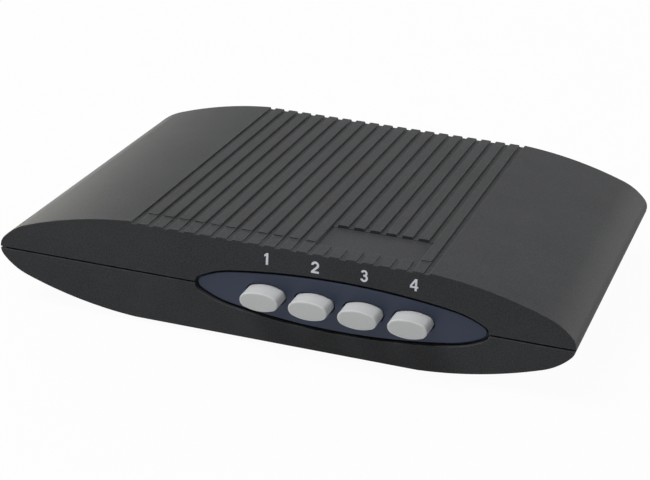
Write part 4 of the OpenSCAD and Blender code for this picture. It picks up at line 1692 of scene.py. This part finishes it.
    def build_contacts(self, place: float) -> Piece:
        """Models the contacts on both faces of one tongue.

        Args:
            place: Middle of the socket.

        Returns:
            The contacts as one piece.
        """
        tip = self.mouth - self.tongue_in - self.contact_in
        level, rows = self.middle + self.tongue_up, []
        for side, count in zip((1, -1), self.contacts):
            left = place - (count - 1) / 2 * self.contact_pitch - self.contact_width / 2
            surface = level + side * self.tongue_thick / 2
            low = Vector((left, tip - self.contact_length, surface - self.contact_proud))
            high = Vector((left + self.contact_width, tip, surface + self.contact_proud))
            strip = Bench.block("contact", low, high)
            Bench.round_edges(strip, self.contact_proud / 2, lambda a, b: min(a.y, b.y) > tip - WELD)
            Bench.row(strip, count, Vector((self.contact_pitch, 0.0, 0.0)))
            rows.append(strip)
        contacts = Bench.join(rows, "contacts_1")
        Bench.smooth(contacts, CRISP_ANGLE)
        return contacts

    def build(self) -> None:
        """Models the insert and one socket, and copies the socket along the row."""
        self.build_panel()
        first = self.places[0]
        kinds = (
            (self.build_shell(first), "shell", Paint.SOCKET, "hdmi_shell"),
            (self.build_core(first), "core", Paint.CORE, "hdmi_core"),
            (self.build_contacts(first), "contacts", Paint.BRASS, ""),
        )
        for model, word, paint, node in kinds:
            for number, piece in enumerate(Bench.copies(model, word, self.places), start=1):
                hand_over(piece, paint, [f"{node}_{number}"] if node else [])


@dataclass
class Underside:
    """What the case stands on and what holds it together: rubber feet and recessed screws."""

    case: Case
    foot_radius: float = 5.0 * MM
    foot_edge: float = 0.6 * MM
    dish_radius: float = 3.1 * MM
    dish_depth: float = 0.25 * MM
    foot_steps: int = 48
    foot_edge_steps: int = 5
    head_radius: float = 2.7 * MM
    head_height: float = 1.9 * MM
    head_edge: float = 0.55 * MM
    shank_radius: float = 1.4 * MM
    shank_length: float = 16.0 * MM
    cross_reach: float = 1.55 * MM
    cross_width: float = 0.62 * MM
    cross_depth: float = 1.1 * MM
    cross_taper: float = 0.55
    head_sides: int = 40

    def build_feet(self) -> Piece:
        """Turns one foot from its profile and copies it to the corners.

        Returns:
            The four feet as one piece.
        """
        case = self.case
        top = case.bottom + case.foot_pocket
        places = case.corners(case.foot_across, case.foot_end)
        left, front = places[0]
        flat = self.foot_radius - self.foot_edge
        profile = Outline((0.0, self.dish_depth), (
            Line((self.dish_radius - self.dish_depth, self.dish_depth)), Line((self.dish_radius, 0.0)),
            Line((flat, 0.0)), Arc((flat, self.foot_edge), math.pi / 2, self.foot_edge_steps),
            Line((self.foot_radius, top)), Line((0.0, top)),
        )).moved(left, 0.0)
        foot = Bench.trace("foot", View.FRONT, front, profile, filled=False)
        with Bench.editing(foot, "VERT"):
            bpy.ops.mesh.select_all(action="SELECT")
            bpy.ops.mesh.spin(steps=self.foot_steps, angle=2 * math.pi, center=(left, front, 0.0),
                              axis=(0.0, 0.0, 1.0))
            bpy.ops.mesh.select_all(action="SELECT")
            bpy.ops.mesh.remove_doubles(threshold=WELD)
            bpy.ops.mesh.normals_make_consistent(inside=False)
        Bench.smooth(foot, CRISP_ANGLE)
        return hand_over(Bench.spread(foot, "feet", places), Paint.RUBBER, ["rubber_feet"])

    def build_screws(self) -> Piece:
        """Models one cross-head screw and copies it to the pillars.

        Returns:
            The four screws as one piece.
        """
        case = self.case
        seat = case.seam - case.well_roof
        low = seat - self.head_height
        places = case.corners(*case.pillar)
        foot = Vector((*places[0], low))
        screw = Bench.rod("screw", foot, self.head_radius, self.head_height, self.head_sides)
        Bench.round_edges(screw, self.head_edge, lambda a, b: max(a.z, b.z) < low + WELD, segments=4)
        for reach in ((self.cross_reach, self.cross_width / 2), (self.cross_width / 2, self.cross_reach)):
            size = Vector((*reach, case.past))
            middle = Vector((*places[0], low + self.cross_depth - case.past))
            wing = Bench.block("wing", middle - size, middle + size)
            with Bench.editing(wing):
                Bench.pick_faces(wing, lambda place, normal: normal.z > FACING)
                taper = (self.cross_taper, self.cross_taper, 1.0)
                bpy.ops.transform.resize(value=taper, center_override=middle)
            Bench.combine(screw, wing)
        with Bench.editing(screw):
            Bench.pick_faces(screw, lambda place, normal: normal.z > FACING and place.z > seat - WELD)
            bpy.ops.mesh.inset(thickness=self.head_radius - self.shank_radius)
            shank = (0.0, 0.0, self.shank_length)
            bpy.ops.mesh.extrude_region_move(TRANSFORM_OT_translate={"value": shank})
        Bench.smooth(screw, CRISP_ANGLE)
        return hand_over(Bench.spread(screw, "case_screw_set", places), Paint.SCREW, ["case_screws"])


@dataclass
class Springs:
    """The coil springs behind the buttons, which close up as the buttons are pressed."""

    wire: float = 0.4 * MM
    turns: int = 5
    sides: int = 10
    turn_steps: int = 28

    def wind(self, node: str, name: str) -> Piece:
        """Winds a spring from a ring of wire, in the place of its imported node.

        Args:
            node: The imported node.
            name: Name of the spring.

        Returns:
            The spring.
        """
        low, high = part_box(node)
        start = Vector(((low.x + high.x) / 2, low.y + self.wire / 2, (low.z + high.z) / 2))
        spring = Bench.start(name, bpy.ops.mesh.primitive_circle_add, vertices=self.sides,
                             radius=self.wire / 2, location=start)
        with Bench.editing(spring, "VERT"):
            bpy.ops.mesh.select_all(action="SELECT")
            bpy.ops.transform.translate(value=((high.x - low.x - self.wire) / 2, 0.0, 0.0))
        rise = (high.y - low.y - self.wire) / self.turns
        Bench.apply(spring, "SCREW", axis="Y", screw_offset=rise, iterations=self.turns,
                    steps=self.turn_steps, render_steps=self.turn_steps)
        Bench.settle(spring)
        with Bench.editing(spring):
            bpy.ops.mesh.select_all(action="SELECT")
            bpy.ops.mesh.remove_doubles(threshold=WELD)
            bpy.ops.mesh.fill_holes(sides=self.sides)
            bpy.ops.mesh.normals_make_consistent(inside=False)
        Bench.smooth(spring)
        return spring

    def build(self) -> None:
        """Winds a spring for every button, each with a mesh of its own."""
        for number, joint in enumerate(frame["joints"], start=1):
            node = f"return_spring_{number}"
            spring = hand_over(self.wind(node, f"spring_{number}"), Paint.SPRING, [node])
            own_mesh(spring)


@dataclass
class Inside:
    """The carried-over pieces inside the case, each with its finish."""

    paints: tuple[tuple[str, Paint], ...] = (
        ("plunger", Paint.SWITCH), ("switch_body", Paint.SWITCH), ("switch_base", Paint.WAFER),
        ("contact_clip", Paint.BRASS), ("switch_pins", Paint.TIN), ("main_board", Paint.BOARD),
        ("signal_chip", Paint.EPOXY), ("regulator", Paint.EPOXY), ("esd_arrays", Paint.EPOXY),
        ("can_capacitors", Paint.CAN), ("chip_capacitors", Paint.CERAMIC), ("board_screws", Paint.SCREW),
    )

    def build(self) -> None:
        """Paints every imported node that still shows."""
        for name, node in frame["nodes"].items():
            for word, paint in self.paints:
                if name.startswith(word):
                    node.data.materials.clear()
                    node.data.materials.append(paint.material())
                    LOG.info("%s: %s", name, paint.name.lower())


@dataclass(frozen=True)
class Lamp:
    """A soft square lamp: its place and side in metres, its power in watts and its colour."""

    name: str
    place: tuple[float, float, float]
    side: float
    power: float
    colour: Colour

    def hang(self, aim: Vector) -> None:
        """Hangs the lamp so that it faces a point.

        Args:
            aim: The point.
        """
        place = Vector(self.place)
        lamp = Bench.start(self.name, bpy.ops.object.light_add, type="AREA", location=place)
        lamp.rotation_euler = (place - aim).to_track_quat("Z", "Y").to_euler()
        lamp.data.size = self.side
        lamp.data.energy = self.power
        lamp.data.color = self.colour


@dataclass
class Studio:
    """Pale floor, white surroundings and soft lamps."""

    floor_half: float = 3.0
    floor_colour: Colour = (0.7, 0.7, 0.7)
    floor_white: float = 0.96
    fill: float = 0.2
    aim_height: float = 20.0 * MM
    lamps: tuple[Lamp, ...] = (
        Lamp("overhead", (-0.55, -0.12, 0.85), 0.4, 4.3, (1.0, 1.0, 1.0)),
        Lamp("rim_light", (-0.29, -0.39, 0.9), 0.55, 3.4, (0.98, 0.99, 1.0)),
        Lamp("left_sheen", (-1.1, 0.95, 0.25), 0.6, 10.6, (1.0, 0.96, 0.87)),
        Lamp("right_sheen", (0.5, 1.1, 0.3), 0.5, 2.6, (1.0, 0.98, 0.95)),
        Lamp("right_edge", (0.8, 0.8, 0.15), 0.5, 7.1, (0.97, 0.98, 1.0)),
    )

    def seen_white(self, sheet: NodeSheet) -> bpy.types.NodeSocket:
        """Mask of the rays that see the surroundings directly, by mirror or through glass."""
        ray = sheet.add("ShaderNodeLightPath")
        shown = sheet.sums("MAXIMUM", ray.outputs["Is Camera Ray"], ray.outputs["Is Glossy Ray"])
        return sheet.sums("MAXIMUM", shown, ray.outputs["Is Transmission Ray"])

    def build_floor(self) -> None:
        """Lays the floor: white to the eye, with the object's own shadow on it."""
        floor = Bench.start("floor", bpy.ops.mesh.primitive_plane_add, size=2 * self.floor_half)
        material = bpy.data.materials.new("pale_floor")
        material.use_nodes = True
        sheet = NodeSheet(material.node_tree)
        sheet.tree.nodes.clear()
        matt = sheet.add("ShaderNodeBsdfDiffuse", {"Color": rgba(self.floor_colour)})
        white = sheet.add("ShaderNodeEmission", {"Color": rgba((1.0, 1.0, 1.0)), "Strength": 1.0})
        share = sheet.sums("MULTIPLY", self.seen_white(sheet), self.floor_white)
        both = sheet.add("ShaderNodeMixShader", {"Fac": share})
        sheet.feed(both.inputs[1], matt.outputs[0])
        sheet.feed(both.inputs[2], white.outputs[0])
        sheet.add("ShaderNodeOutputMaterial", {"Surface": both.outputs[0]})
        floor.data.materials.append(material)

    def build_world(self) -> None:
        """Sets white surroundings for the eye and an even fill for the object."""
        world = bpy.data.worlds.new("surroundings")
        world.use_nodes = True
        bpy.context.scene.world = world
        sheet = NodeSheet(world.node_tree)
        strength = sheet.span(self.seen_white(sheet), 0.0, 1.0, self.fill, 1.0)
        backdrop = world.node_tree.nodes["Background"]
        sheet.feed(backdrop.inputs["Color"], rgba((1.0, 1.0, 1.0)))
        sheet.feed(backdrop.inputs["Strength"], strength)

    def build(self) -> None:
        """Sets up the floor, the surroundings and the lamps."""
        self.build_floor()
        self.build_world()
        for lamp in self.lamps:
            lamp.hang(Vector((0.0, 0.0, self.aim_height)))


@dataclass
class PhotoCamera:
    """The photograph's view of the box, worked out for an image of 650 by 480 pixels."""

    place: Point = (161.2 * MM, -522.05 * MM)
    height: float = 236.6 * MM
    azimuth: float = 17.52
    elevation: float = 22.27
    roll: float = 2.93
    focal_pixels: float = 1840.4
    image_width: float = 650.0
    sensor: float = 36.0

    def build(self) -> None:
        """Sets the camera up and makes it the scene's own."""
        turn, lift, roll = (math.radians(a) for a in (self.azimuth, self.elevation, self.roll))
        back = Vector((math.sin(turn) * math.cos(lift), -math.cos(turn) * math.cos(lift), math.sin(lift)))
        level = Vector((math.cos(turn), math.sin(turn), 0.0))
        upright = back.cross(level)
        right = level * math.cos(roll) + upright * math.sin(roll)
        up = upright * math.cos(roll) - level * math.sin(roll)
        data = bpy.data.cameras.new("photo_camera")
        data.sensor_fit = "HORIZONTAL"
        data.sensor_width = self.sensor
        data.lens = self.focal_pixels / self.image_width * self.sensor
        camera = bpy.data.objects.new("photo_camera", data)
        bpy.context.scene.collection.objects.link(camera)
        turned = Matrix((right, up, back)).transposed().to_4x4()
        camera.matrix_world = Matrix.Translation((*self.place, self.height)) @ turned
        bpy.context.scene.camera = camera


def main() -> None:
    """Builds the pieces in order, then the studio and the camera."""
    logging.basicConfig(level=logging.INFO, format="%(name)s: %(message)s")
    bpy.context.scene.view_settings.view_transform = "Standard"
    case = Case()
    case.build_cover()
    case.build_tray()
    buttons = Buttons(case)
    panel = ButtonPanel(case)
    panel.build_insert(buttons.holes())
    panel.build_numbers(buttons.places[0])
    buttons.build()
    Sockets(case).build()
    underside = Underside(case)
    underside.build_feet()
    underside.build_screws()
    Springs().build()
    Inside().build()
    Studio().build()
    PhotoCamera().build()


if __name__ == "__main__":
    main()
